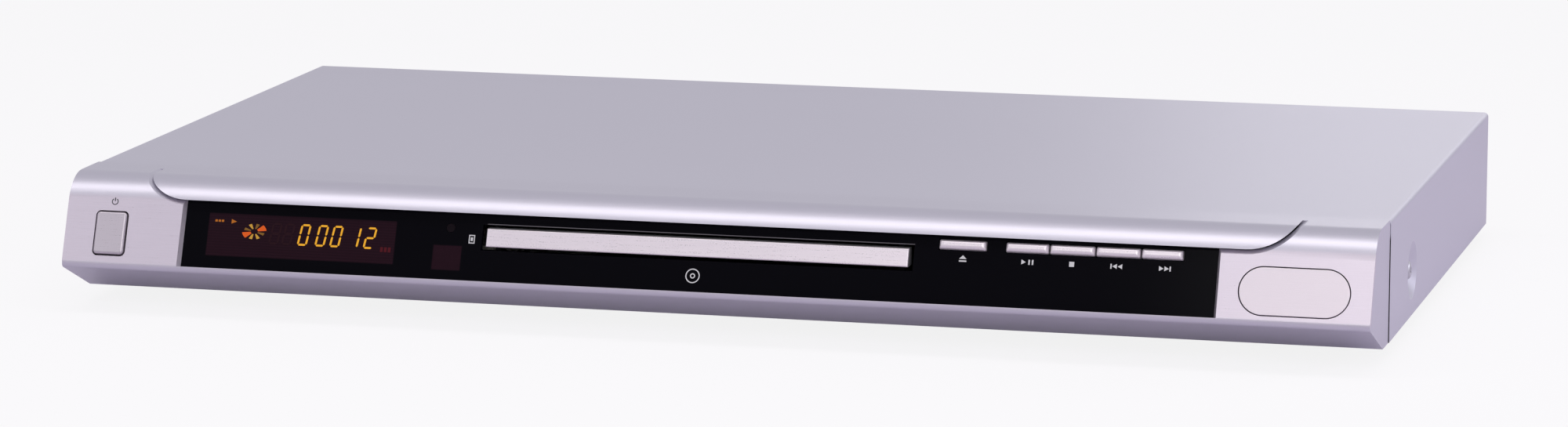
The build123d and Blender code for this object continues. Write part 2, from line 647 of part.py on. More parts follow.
def tray_drive_gear():
    """The compound gear whose pinion drives the tray's rack."""
    made = post(drive_x, drive_y, (deck_high + 0.3, wheel_low), 4.0)
    made = made + gear(drive_x, drive_y, (wheel_low, wheel_high), wheel_module, wheel_teeth, 0)
    tooth_at = 180 / pinion_teeth
    made = made + gear(drive_x, drive_y, (wheel_high, rack_high), rack_module, pinion_teeth, tooth_at)
    return made - post(drive_x, drive_y, (deck_high, rack_high + 1), drive_pin + running)


def pulley_gear():
    """The belt-driven pulley with the small pinion on top that turns the tray's drive gear."""
    teeth_at = 180 + 180 / pulley_teeth
    made = gear(pulley_x, drive_y, (belt_high, wheel_high), wheel_module, pulley_teeth, teeth_at)
    made = made + pulley(pulley_x, pulley_radius)
    return made - post(pulley_x, drive_y, (deck_high, wheel_high + 1), drive_pin + running)


def motor_pulley():
    """The small pulley on the loading motor's shaft."""
    hole = post(motor_x, drive_y, (deck_high, belt_high + 1), motor_shaft + running)
    return pulley(motor_x, motor_pulley_radius) - hole


def drive_belt():
    """A flat belt round both pulleys, its loop drawn as arcs and straight runs."""

    def loop(grow):
        large, small = pulley_radius + grow, motor_pulley_radius + grow
        tilt = math.acos((large - small) / belt_span)
        turn = (math.cos(tilt), math.sin(tilt))
        a, b = (large * turn[0], large * turn[1]), (belt_span + small * turn[0], small * turn[1])
        edges = [
            Line(a, b),
            ThreePointArc(b, (belt_span + small, 0), (b[0], -b[1])),
            Line((b[0], -b[1]), (a[0], -a[1])),
            ThreePointArc((a[0], -a[1]), (-large, 0), a),
        ]
        return make_face(edges)

    edge = belt_edge + 0.1
    outline = loop(running + belt_thickness) - loop(running)
    band = extrude(outline, amount=belt_high - belt_low - 2 * edge)
    return Pos(pulley_x, y_at(drive_y), z_at(belt_low + edge)) * band


def loading_motor():
    """The tray motor, hung under the deck with its shaft up through it."""
    made = post(motor_x, drive_y, (motor_low, deck_low), motor_radius)
    return made + post(motor_x, drive_y, (motor_low, belt_high), motor_shaft)


def loader_frame():
    """The loader's walls, rails, gear deck, cam channel and rear crosspiece with the cradle's pivot ears."""
    x = (left_wall[0], right_wall[1])
    frame = block(left_wall, (frame_front, frame_back), (frame_low, frame_high))
    frame = frame + block(right_wall, (frame_front, frame_back), (frame_low, frame_high))
    left_rail = (left_wall[1] + rail_width, left_wall[0])
    right_rail = (right_wall[0] - rail_width, right_wall[1])
    for rail in (left_rail, right_rail):
        frame = frame + block(rail, (frame_front, frame_back), (rail_low, tray_low - guide_gap))
    deck = (drive_x - wheel_pitch - 3, right_wall[1])
    frame = frame + block(deck, (frame_front + 2, drive_y + motor_radius + 0.8), (deck_low, deck_high))
    channel = (cam_front - cam_clear, cam_front + cam_thickness + cam_clear)
    frame = frame + block(x, (channel[0] - rib, channel[1] + rib), (frame_low, strip_high))
    for low in (channel[0] - rib, channel[1]):
        frame = frame + block((tray_x - 50, tray_x + 50), (low, low + rib), (frame_low, rib_high))
    frame = frame + block(x, (pivot_y - 7, frame_back), (frame_low, strip_high + 1))
    for side in (-1, 1):
        ear = (tray_x + side * (cradle_half + 0.6), tray_x + side * (cradle_half + 3.6))
        frame = frame + block(ear, (pivot_y - 6, pivot_y + 6), (frame_low, pivot_z + 5))
    for side, y in lug_places:
        root = left_wall[1] if side < 0 else right_wall[0]
        lug = (root, lug_x(side) + side * lug_half)
        frame = frame + block(lug, (y - 5, y + 5), (frame_low, frame_low + lug_high))
        frame = frame - post(lug_x(side), y, (frame_low - 1, frame_low + lug_high + 1), screw_hole)
    pin = (tray_x - cradle_half - 5, tray_x + cradle_half + 5)
    frame = frame - bar_x(pin, pivot_y, pivot_z, pivot_radius + running)
    frame = frame - post(drive_x, drive_y, (deck_high, rail_low), wheel_pitch + wheel_module + tooth_clear)
    pinion_room = pinion_pitch + rack_module + tooth_clear
    frame = frame - post(drive_x, drive_y, (rail_low, frame_high - 2.5), pinion_room)
    for pin_at, high in ((drive_x, rack_high - 0.4), (pulley_x, wheel_high - 0.2)):
        frame = frame + post(pin_at, drive_y, (deck_high - 0.5, high), drive_pin)
    toe_depth, toe_high = chin_depth + bezel_wall + toe_room, nose_height + bezel_wall - 2 * toe_room
    frame = frame - block(x, (frame_front - 1, toe_depth), (frame_low - 1, toe_high))
    frame = frame - block(x, (frame_front - 1, pan_front), (frame_low - 1, bezel_wall + floor_gap))
    return frame - post(motor_x, drive_y, (deck_low - 1, deck_high + 1), motor_shaft + 0.4)


# ---------------------------------------------------------------- cradle with the pickup
def lowered(piece):
    """A piece drawn with the cradle raised, swung down to where it rests."""
    pivot = Pos(0, y_at(pivot_y), z_at(pivot_z))
    return pivot * Rot(lift_angle, 0, 0) * pivot.inverse() * piece


def cradle_x(low, high):
    """Two places in x given from the loader's middle."""
    return (tray_x + low, tray_x + high)


def traverse_cradle():
    """The plate that carries the spindle and the pickup, hinged at its rear and lifted by two front pins."""
    across = cradle_x(-cradle_half, cradle_half)
    cradle = block(across, (cradle_front, cradle_back), (cradle_low, cradle_high))
    rim = cradle_half - cradle_rail
    for side in (-1, 1):
        rail = cradle_x(side * rim, side * cradle_half)
        cradle = cradle + block(rail, (disc_y, rod_back + 4), (cradle_low, cradle_rim))
        pin = cradle_x(side * rim, side * (cradle_half + 3.4))
        cradle = cradle + bar_x(pin, pivot_y, pivot_z, pivot_radius)
        cam_pin = (cam_front - 0.6, cradle_front + 2)
        cradle = cradle + bar_y(tray_x + side * cam_pin_x, cam_pin, cam_pin_z, cam_pin_radius)
    for middle in (rod_front, rod_back):
        seat = (middle - rod_seat / 2, middle + rod_seat / 2)
        cradle = cradle + block(cradle_x(-rim - 1, rim + 1), seat, (cradle_low, cradle_rim))
    sled_room = (rod_front + rod_seat / 2, rod_back - rod_seat / 2)
    cradle = cradle - block(cradle_x(-rim, rim), sled_room, (cradle_low - 1, cradle_rim + 1))
    bores = ((-rod_offset, rod_radius), (rod_offset, rod_radius), (screw_offset, screw_radius + running))
    for offset, radius in bores:
        cradle = cradle - bar_y(tray_x + offset, (rod_front - 2, rod_back + 2), rod_z, radius)
    motor_room = cradle_x(screw_offset - sled_motor_radius - 0.4, screw_offset + sled_motor_radius + 0.4)
    front, through = rod_back + rod_seat / 2, (cradle_low - 1, cradle_high + 1)
    cradle = cradle - block(motor_room, (front, front + sled_motor_length + 1), through)
    return cradle - post(tray_x, disc_y, through, spindle_hole)


def spindle_motor():
    """The flat motor that turns the disc, with its shaft."""
    made = post(tray_x, disc_y, (cradle_high, spindle_high), spindle_radius)
    return made + post(tray_x, disc_y, (cradle_high, turntable_high), spindle_shaft)


def turntable():
    """The disc's turntable and its centring hub."""
    made = post(tray_x, disc_y, (turntable_low, turntable_high), turntable_radius)
    hub = post(tray_x, disc_y, (turntable_high, turntable_high + hub_height), hub_radius)
    made = made + chamfer(hub.faces().sort_by(Axis.Z)[-1].edges(), 1.2)
    return made - post(tray_x, disc_y, (turntable_low - 1, turntable_high + 0.5), spindle_shaft + running)


def guide_rods():
    """The two steel rods that the pickup slides on."""
    ends = (rod_front - rod_seat / 2, rod_back + rod_seat / 2)
    return [bar_y(tray_x + side * rod_offset, ends, rod_z, rod_radius) for side in (-1, 1)]


def pickup_sled():
    """The pickup's block, bored for both rods and for the lead screw."""
    middle = disc_y + sled_rest
    depth = (middle - sled_half_depth, middle + sled_half_depth)
    sled = block(cradle_x(-sled_half_width, sled_half_width), depth, (sled_low, sled_high))
    sled = sled + block(cradle_x(-lens_half, lens_half), (middle - 8, middle + 8), (sled_high, lens_base))
    for offset, radius in ((-rod_offset, rod_radius), (rod_offset, rod_radius), (screw_offset, screw_radius)):
        sled = sled - bar_y(tray_x + offset, (depth[0] - 1, depth[1] + 1), rod_z, radius + running)
    return sled


def pickup_lens():
    """The pickup's lens and its round holder."""
    at = Pos(tray_x, y_at(disc_y + sled_rest), z_at(lens_high - 0.6))
    holder = post(tray_x, disc_y + sled_rest, (lens_base, lens_high - 0.6), lens_radius)
    return holder + at * Pos(0, 0, 0.3) * Cone(lens_radius - 1, 1.6, 0.6)


def lead_screw():
    """The screw that moves the sled."""
    ends = (rod_front - rod_seat / 2, rod_back + rod_seat / 2)
    return bar_y(tray_x + screw_offset, ends, rod_z, screw_radius)


def sled_motor():
    """The motor at the rear end of the lead screw."""
    front = rod_back + rod_seat / 2 + 0.3
    return bar_y(tray_x + screw_offset, (front, front + sled_motor_length), rod_z, sled_motor_radius)


def cam_slider():
    """The cross slide whose slanted slots lift the cradle's two front pins."""
    plate = block(cradle_x(-cam_half, cam_half), (cam_front, cam_front + cam_thickness), (cam_low, cam_high))
    arm = pivot_y - cam_front - cam_thickness / 2
    rise = arm * math.sin(math.radians(lift_angle))
    slant = math.degrees(math.atan2(rise, -cam_travel))
    width = 2 * (cam_pin_radius + cam_clear)
    plane = Plane(origin=(0, y_at(cam_front - 1), 0), x_dir=(1, 0, 0), z_dir=(0, -1, 0))
    for side in (-1, 1):
        middle = (tray_x + side * cam_pin_x - cam_travel / 2, z_at(cam_pin_z - rise / 2))
        slot = SlotCenterToCenter(math.hypot(rise, cam_travel) + 0.6, width)
        slot = plane * Pos(*middle) * Rot(0, 0, slant) * slot
        plate = plate - extrude(slot, amount=-cam_thickness - 2)
    return plate


def clamp_bridge():
    """A steel bridge from wall to wall, stepped up over the tray."""
    left, right = left_wall[0] - 2, right_wall[1] + 2
    top, depth = bridge_low + bridge_thickness, (bridge_front, bridge_back)
    span = (left + bridge_tab - bridge_thickness, right - bridge_tab + bridge_thickness)
    made = block(span, depth, (bridge_low, top))
    for end, side in ((left, 1), (right, -1)):
        inner = end + side * bridge_tab
        made = made + block((end, inner), depth, (frame_high, frame_high + bridge_thickness))
        made = made + block((inner, inner - side * bridge_thickness), depth, (frame_high, top))
    return made - post(tray_x, disc_y, (bridge_low - 1, top + 1), puck_neck + puck_gap)


def clamper_puck():
    """The loose puck that holds a disc down on the turntable."""
    low_top = bridge_low - puck_gap
    neck_top = bridge_low + bridge_thickness + puck_gap
    made = post(tray_x, disc_y, (puck_low, low_top), puck_radius)
    made = made + post(tray_x, disc_y, (low_top, neck_top), puck_neck)
    return made + post(tray_x, disc_y, (neck_top, neck_top + puck_flange), puck_radius - 2)


# ---------------------------------------------------------------- boards and what stands on them
def circuit_board(span):
    """A level board with a screw hole near each corner."""
    made = block(span[:2], span[2:], (standoff, board_top))
    for x, y in standoff_places(span):
        made = made - post(x, y, (standoff - 1, board_top + 1), screw_hole)
    return made


def board_screws():
    """The screws of both level boards."""
    places = standoff_places(main_span) + standoff_places(supply_span)
    return [screw("z", x, y, board_top, board_screw, 1) for x, y in places]


def on_board(x, y, size, height):
    """A plain package standing on a level board."""
    half_x, half_y = size[0] / 2, size[1] / 2
    return block((x - half_x, x + half_x), (y - half_y, y + half_y), (board_top, board_top + height))


def main_board_chips():
    """The packages on the main board: the decoder, its memory, the drivers and a crystal."""
    packages = (
        (150, 165, (24, 24), 2.4),
        (180, 160, (11, 18), 1.4),
        (112, 160, (9, 18), 1.4),
        (150, 200, (8, 10), 1.6),
        (120, 200, (8, 10), 1.6),
        (180, 200, (14, 10), 3.0),
    )
    return [on_board(*package) for package in packages]


def av_jacks():
    """A block of phono sockets, their barrels through the rear panel."""
    low, high = jack_columns[0] - jack_pitch / 2, jack_columns[-1] + jack_pitch / 2
    made = block((low, high), (pan_back - 13, pan_back - 0.2), (board_top, jack_rows[-1] + 6.5))
    for x in jack_columns:
        for z in jack_rows:
            made = made + bar_y(x, (pan_back - 1, cover_back), z, jack_collar)
            made = made + bar_y(x, (pan_back, cover_back + jack_reach), z, jack_radius)
            made = made - bar_y(x, (cover_back - 2, cover_back + jack_reach + 1), z, jack_bore)
    return made


def optical_socket():
    """The square digital output socket."""
    low, high = optical_x - optical_half, optical_x + optical_half
    made = block((low, high), (pan_back - 12, cover_back), (board_top, optical_high))
    room = (board_top + optical_wall, optical_high - optical_wall)
    return made - block((low + optical_wall, high - optical_wall), (cover_back - 5, cover_back + 1), room)


def power_inlet():
    """A two-pin mains socket in the rear panel, standing on the supply board."""
    half_x, half_z = inlet_size[0] / 2, inlet_size[1] / 2
    end = cover_back + 0.6
    made = block((inlet_x - half_x, inlet_x + half_x), (end - 16, end), (inlet_z - half_z, inlet_z + half_z))
    made = made + block((inlet_x - 8, inlet_x + 8), (end - 16, end - 9), (board_top, inlet_z))
    plane = Plane(origin=(inlet_x, y_at(end), z_at(inlet_z)), x_dir=(1, 0, 0), z_dir=(0, -1, 0))
    made = made - extrude(plane * SlotOverall(*socket_size), amount=socket_depth)
    for side in (-1, 1):
        x = inlet_x + side * (socket_size[0] - socket_size[1]) / 2
        made = made + bar_y(x, (end - socket_depth - 1, end - 2), inlet_z, 1.2)
    return made


def transformer():
    """The supply's transformer, a core round its wound bobbin."""
    core = on_board(*transformer_at, transformer_core, 6)
    return core + on_board(*transformer_at, transformer_bobbin, 20) + Pos(0, 0, 15) * core


def supply_capacitors():
    """The round capacitors on the supply board."""
    places = ((-190, 160, 7.0, 22.0), (-118, 205, 5.0, 16.0), (-118, 190, 5.0, 16.0), (-118, 175, 4.0, 12.0))
    return [post(x, y, (board_top, board_top + high), radius) for x, y, radius, high in places]


def heatsink():
    """The finned heatsink at the front of the supply board."""
    x, y = heatsink_at
    made = on_board(x, y, heatsink_size, heatsink_high)
    fin_y = y - (heatsink_size[1] + fin_size[1]) / 2 + 1
    for step in range(fins):
        made = made + on_board(x + fin_pitch * (step - (fins - 1) / 2), fin_y, fin_size, heatsink_high)
    return made


def power_harness():
    """Wires side by side from the supply board to the main board, and the plug at each end."""
    start, end = supply_span[1] - 8, main_span[0] + 8
    high, plug_top = board_top + 7, board_top + 3
    made = []
    for number in range(wires):
        y = y_at(harness_front + wire_pitch * number)
        places = [(start, plug_top), (start, high), (start + 16, high), (start + 26, wire_low)]
        places += [(end - 26, wire_low), (end - 16, high), (end, high), (end, plug_top)]
        path = FilletPolyline(*[(x, y, z_at(z)) for x, z in places], radius=2.0)
        made.append(sweep(Plane(origin=path @ 0, z_dir=path % 0) * Circle(wire_radius), path=path))
    depth = (harness_front - wire_pitch, harness_front + wires * wire_pitch)
    return made + [block((x - 2.5, x + 2.5), depth, (board_top, plug_top)) for x in (start, end)]


def key_cable():
    """A flat cable from the key board, down to the pan and back up to the main board."""
    back = key_board_at + board
    start_y = cable_u * math.sin(lean) + back * math.cos(lean)
    start_z = nose_height + cable_u * math.cos(lean) - back * math.sin(lean)
    floor = sheet + 0.4
    end, high = main_span[2] + 4, board_top + 3
    places = [(start_y + 0.4, start_z), (start_y + 6, start_z), (pan_front + 8, floor), (end - 16, floor)]
    places += [(end - 10, high), (end, high), (end, board_top + 0.1)]
    path = FilletPolyline(*[(y_at(y), z_at(z)) for y, z in places], radius=1.5)
    return Pos(cable_x, 0, 0) * extrude(Plane.YZ * trace(path, cable_thickness), amount=cable_width)


def pieces():
    """Every node's solids, by node name."""
    left, right, low, high = display_span
    display = (left - 2, right + 2, low - 1, high + 1)
    front_span = (left - 5, receiver_span[1] + 3, low - 2.8, high + 2.3)
    power_board = (power_centre[0] - power_board_half, power_centre[0] + power_board_half, *power_board_u)
    nodes = {
        "front_bezel": front_bezel(),
        "brow_trim": brow_trim(),
        "window_panel": window_panel(),
        "oval_badge_plate": oval_badge_plate(),
        "power_button": power_button(),
        "power_switch": power_switch(),
        "power_switch_board": slab(power_board, power_board_at, power_board_at + board),
        "key_switches": key_switches(),
        "key_board": slab(key_board_span, key_board_at, key_board_at + board),
        "display_tube": slab(display, front_stack, front_stack + display_thickness),
        "infrared_receiver": slab(receiver_span, front_stack, front_board_at),
        "standby_lamp": peg(*lamp_centre, window_recess, front_board_at, lamp_radius),
        "front_board": slab(front_span, front_board_at, front_board_at + board),
        "top_cover": top_cover(),
        "chassis_pan": chassis_pan(),
        "rear_panel": rear_panel(),
        "cover_screws": cover_screws(),
        "foot_screws": foot_screws(),
        "disc_tray": disc_tray(),
        "tray_fascia": tray_fascia(),
        "tray_drive_gear": tray_drive_gear(),
        "pulley_gear": pulley_gear(),
        "motor_pulley": motor_pulley(),
        "drive_belt": drive_belt(),
        "loading_motor": loading_motor(),
        "loader_frame": loader_frame(),
        "loader_screws": loader_screws(),
        "cam_slider": cam_slider(),
        "traverse_cradle": lowered(traverse_cradle()),
        "spindle_motor": lowered(spindle_motor()),
        "turntable": lowered(turntable()),
        "guide_rods": [lowered(rod) for rod in guide_rods()],
        "pickup_sled": lowered(pickup_sled()),
        "pickup_lens": lowered(pickup_lens()),
        "lead_screw": lowered(lead_screw()),
        "sled_motor": lowered(sled_motor()),
        "clamp_bridge": clamp_bridge(),
        "clamper_puck": clamper_puck(),
        "main_board": circuit_board(main_span),
        "main_board_chips": main_board_chips(),
        "av_jacks": av_jacks(),
        "optical_socket": optical_socket(),
        "supply_board": circuit_board(supply_span),
        "transformer": transformer(),
        "supply_capacitors": supply_capacitors(),
        "heatsink": heatsink(),
        "power_inlet": power_inlet(),
        "board_screws": board_screws(),
        "power_harness": power_harness(),
        "key_cable": key_cable(),
    }
    for name, (low, high) in key_spans.items():
        nodes[name] = key_button(low, high)
    foot_names = ("foot_front_left", "foot_rear_left", "foot_front_right", "foot_rear_right")
    for name, foot in zip(foot_names, feet()):
        nodes[name] = foot
    return nodes


if __name__ == "__main__":
    os.makedirs("parts", exist_ok=True)
    for name, made in pieces().items():
        solids = made if isinstance(made, list) else [made]
        node = Compound(children=[solid for piece in solids for solid in piece.solids()])
        export_step(node, f"parts/{name}.step")
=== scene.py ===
"""A slim silver disc player with a motorised tray: finishes, printed marks and studio round its frame."""

from __future__ import annotations

import json
import logging
import math
from dataclasses import dataclass
from enum import Enum
from typing import Any, Protocol

import bmesh
import bpy
from mathutils import Matrix, Vector

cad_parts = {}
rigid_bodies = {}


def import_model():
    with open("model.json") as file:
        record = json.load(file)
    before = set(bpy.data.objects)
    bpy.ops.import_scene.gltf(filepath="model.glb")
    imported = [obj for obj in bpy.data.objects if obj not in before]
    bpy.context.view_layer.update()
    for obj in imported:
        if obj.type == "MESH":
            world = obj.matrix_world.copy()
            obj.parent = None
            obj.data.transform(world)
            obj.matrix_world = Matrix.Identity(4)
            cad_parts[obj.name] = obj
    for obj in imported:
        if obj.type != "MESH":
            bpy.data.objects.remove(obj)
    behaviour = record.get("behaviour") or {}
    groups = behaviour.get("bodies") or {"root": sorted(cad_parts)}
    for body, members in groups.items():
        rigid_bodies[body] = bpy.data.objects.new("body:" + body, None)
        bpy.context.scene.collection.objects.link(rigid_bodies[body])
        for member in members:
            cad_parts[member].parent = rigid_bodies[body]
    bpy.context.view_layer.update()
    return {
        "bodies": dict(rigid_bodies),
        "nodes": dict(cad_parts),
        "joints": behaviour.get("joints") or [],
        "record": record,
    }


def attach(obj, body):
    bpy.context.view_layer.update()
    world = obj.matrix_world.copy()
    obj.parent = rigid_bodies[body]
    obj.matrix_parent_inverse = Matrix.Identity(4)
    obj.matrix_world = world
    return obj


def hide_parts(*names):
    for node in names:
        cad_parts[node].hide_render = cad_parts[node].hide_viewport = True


LOG = logging.getLogger("disc_player")
MM = 0.001
Colour = tuple[float, float, float]
Point = tuple[float, float]
Place = tuple[float, float, float]
Number = "float | Value"


class Direction(Enum):
    """The way in which a finish is brushed or drawn, as the stretch of its noise along X, Y and Z."""

    ACROSS = (0.02, 1.0, 1.0)
    ALONG = (1.0, 0.02, 1.0)
    UPRIGHT = (1.0, 1.0, 0.02)


class Finish(Protocol):
    """What a piece is made of; equal finishes share one material."""

    def build(self) -> bpy.types.Material:
        """Makes the material."""


def scaled(colour: Colour, factor: float, lift: float = 0.0) -> Colour:
    """Gives a colour times a factor, plus a lift, and no brighter than white."""
    return tuple(min(part * factor + lift, 1.0) for part in colour)


def tinted(colour: Colour, tint: Colour) -> Colour:
    """Gives a colour times another, and no brighter than white."""
    return tuple(min(part * share, 1.0) for part, share in zip(colour, tint))


# ------------------------------------------------------------------ shader maths
class Value:
    """A number in a node tree that takes Python's operators."""

    def __init__(self, graph: NodeTree, socket: bpy.types.NodeSocket) -> None:
        """Wraps a socket.

        Args:
            graph: The node tree that the socket is in.
            socket: The output that holds the number.
        """
        self.graph = graph
        self.socket = socket

    def __add__(self, other: Number) -> Value:
        """Adds."""
        return self.graph.maths("ADD", self, other)

    __radd__ = __add__

    def __sub__(self, other: Number) -> Value:
        """Takes a number off this one."""
        return self.graph.maths("SUBTRACT", self, other)

    def __rsub__(self, other: Number) -> Value:
        """Takes this number off another."""
        return self.graph.maths("SUBTRACT", other, self)

    def __mul__(self, other: Number) -> Value:
        """Multiplies."""
        return self.graph.maths("MULTIPLY", self, other)

    __rmul__ = __mul__

    def __truediv__(self, other: Number) -> Value:
        """Divides this number by another."""
        return self.graph.maths("DIVIDE", self, other)

    def __pow__(self, other: Number) -> Value:
        """Raises this number to a power."""
        return self.graph.maths("POWER", self, other)

    def absolute(self) -> Value:
        """Gives the number without its sign."""
        return self.graph.maths("ABSOLUTE", self)

    def wrapped(self, period: float) -> Value:
        """Gives how far the number is from the nearest multiple of a period, with its sign."""
        return self.graph.maths("WRAP", self, period / 2, -period / 2)

    def step(self, low: float, high: float) -> Value:
        """Rises smoothly from 0 at low to 1 at high; with low above high it falls instead."""
        if low > high:
            return 1.0 - self.step(high, low)
        inputs = {"Value": self, "From Min": low, "From Max": high}
        node = self.graph.node("ShaderNodeMapRange", {"interpolation_type": "SMOOTHSTEP"}, inputs)
        return Value(self.graph, node.outputs[0])

    def between(self, low: float, high: float, soft: float) -> Value:
        """Gives 1 between two limits and 0 outside them, with a soft edge."""
        return self.step(low - soft, low + soft) * self.step(high + soft, high - soft)


class NodeTree:
    """The node tree of a material or of the surroundings."""

    def __init__(self, owner: bpy.types.Material | bpy.types.World) -> None:
        """Starts with an empty tree.

        Args:
            owner: What the tree belongs to.
        """
        owner.use_nodes = True
        self.tree = owner.node_tree
        self.tree.nodes.clear()

    def node(self, kind: str, settings: dict[str, Any], inputs: dict[str | int, Any]) -> bpy.types.Node:
        """Adds any node.

        Args:
            kind: The node's type.
            settings: Its properties.
            inputs: A value or a link for each input, by name or number.

        Returns:
            The new node.
        """
        node = self.tree.nodes.new(kind)
        for key, setting in settings.items():
            setattr(node, key, setting)
        for key, given in inputs.items():
            socket = node.inputs[key]
            if isinstance(given, Value):
                given = given.socket
            if isinstance(given, bpy.types.NodeSocket):
                self.tree.links.new(given, socket)
            elif isinstance(given, tuple) and socket.type == "RGBA":
                socket.default_value = (*given, 1.0)
            else:
                socket.default_value = given
        return node

    def maths(self, operation: str, *values: Number) -> Value:
        """Adds a Math node and returns its result."""
        node = self.node("ShaderNodeMath", {"operation": operation}, dict(enumerate(values)))
        return Value(self, node.outputs[0])

    def mix_shader(self, share: Number, low: bpy.types.Node, high: bpy.types.Node) -> bpy.types.Node:
        """Mixes two shaders, the second by a share."""
        return self.node("ShaderNodeMixShader", {}, {0: share, 1: low.outputs[0], 2: high.outputs[0]})


class Graph(NodeTree):
    """The node tree of one material."""

    def __init__(self, name: str) -> None:
        """Starts a material with an empty tree.

        Args:
            name: The material's name.
        """
        self.material = bpy.data.materials.new(name)
        super().__init__(self.material)
        self.point = self.node("ShaderNodeTexCoord", {}, {}).outputs["Object"]

    def place(self, axis: str) -> Value:
        """Gives the place along X, Y or Z in the player's frame, in millimetres."""
        split = self.node("ShaderNodeSeparateXYZ", {}, {0: self.point})
        return Value(self, split.outputs[axis]) * 1000.0

    def stretched(self, stretch: Place) -> bpy.types.NodeSocket:
        """Gives the Object coordinates scaled by a factor along each axis."""
        return self.node("ShaderNodeMapping", {}, {"Vector": self.point, "Scale": stretch}).outputs[0]

    def noise(self, scale: float, detail: float = 2.0, stretch: Place = (1.0, 1.0, 1.0)) -> Value:
        """Gives a noise from 0 to 1.

        Args:
            scale: How many features it has in a metre.
            detail: Its octaves.
            stretch: A factor on its scale along each axis.

        Returns:
            The noise's value.
        """
        inputs = {"Vector": self.stretched(stretch), "Scale": scale, "Detail": detail}
        return Value(self, self.node("ShaderNodeTexNoise", {}, inputs).outputs[0])

    def cells(self, scale: float) -> Value:
        """Gives a random number from 0 to 1 for each small cell."""
        node = self.node("ShaderNodeTexVoronoi", {}, {"Vector": self.point, "Scale": scale})
        split = self.node("ShaderNodeSeparateColor", {}, {0: node.outputs["Color"]})
        return Value(self, split.outputs[0])

    def mix(self, share: Number, low: Any, high: Any) -> bpy.types.NodeSocket:
        """Mixes two colours.

        Args:
            share: How much of the second colour shows.
            low: The first colour, as numbers or a link.
            high: The second colour.

        Returns:
            The mixed colour's socket.
        """
        node = self.node("ShaderNodeMix", {"data_type": "RGBA"}, {0: share, 6: low, 7: high})
        return node.outputs[2]

    def bump(self, height: Value, depth: float, strength: float = 1.0) -> bpy.types.NodeSocket:
        """Gives a normal from a height; depth is in millimetres."""
        inputs = {"Height": height, "Distance": depth * MM, "Strength": strength}
        return self.node("ShaderNodeBump", {}, inputs).outputs[0]

    def surface(self, **inputs: Any) -> bpy.types.Material:
        """Ends the tree in a Principled surface.

        Args:
            **inputs: The shader's inputs, with underscores for spaces.

        Returns:
            The finished material.
        """
        named = {key.replace("_", " "): given for key, given in inputs.items()}
        shader = self.node("ShaderNodeBsdfPrincipled", {}, named)
        self.node("ShaderNodeOutputMaterial", {}, {0: shader.outputs[0]})
        return self.material


# ------------------------------------------------------------------ the leaning face
@dataclass(frozen=True)
class LeaningFace:
    """The plane of the front: x across it, u up it from the nose and out in front of it, in millimetres."""

    lean: float = math.radians(21.56)
    nose_y: float = -131.99
    nose_z: float = 15.6
    brushed_out: Point = (-1.95, 1.2)
    brushed_up: Point = (1.6, 24.0)

    def matrix(self) -> Matrix:
        """Gives the transform from x, u and out in metres to the player's frame."""
        sine, cosine = math.sin(self.lean), math.cos(self.lean)
        turn = Matrix(((1, 0, 0), (0, sine, -cosine), (0, cosine, sine))).to_4x4()
        return Matrix.Translation((0, self.nose_y * MM, self.nose_z * MM)) @ turn

    def up(self, graph: Graph) -> Value:
        """Gives a material's distance up the face."""
        y, z = graph.place("Y") - self.nose_y, graph.place("Z") - self.nose_z
        return y * math.sin(self.lean) + z * math.cos(self.lean)

    def out(self, graph: Graph) -> Value:
        """Gives a material's distance in front of the face."""
        y, z = graph.place("Y") - self.nose_y, graph.place("Z") - self.nose_z
        return z * math.sin(self.lean) - y * math.cos(self.lean)

    def brushed(self, graph: Graph) -> Value:
        """Gives 1 on the brushed flat of the face and 0 elsewhere."""
        out, up = self.out(graph), self.up(graph)
        return out.between(*self.brushed_out, 0.25) * up.between(*self.brushed_up, 1.0)


FACE = LeaningFace()


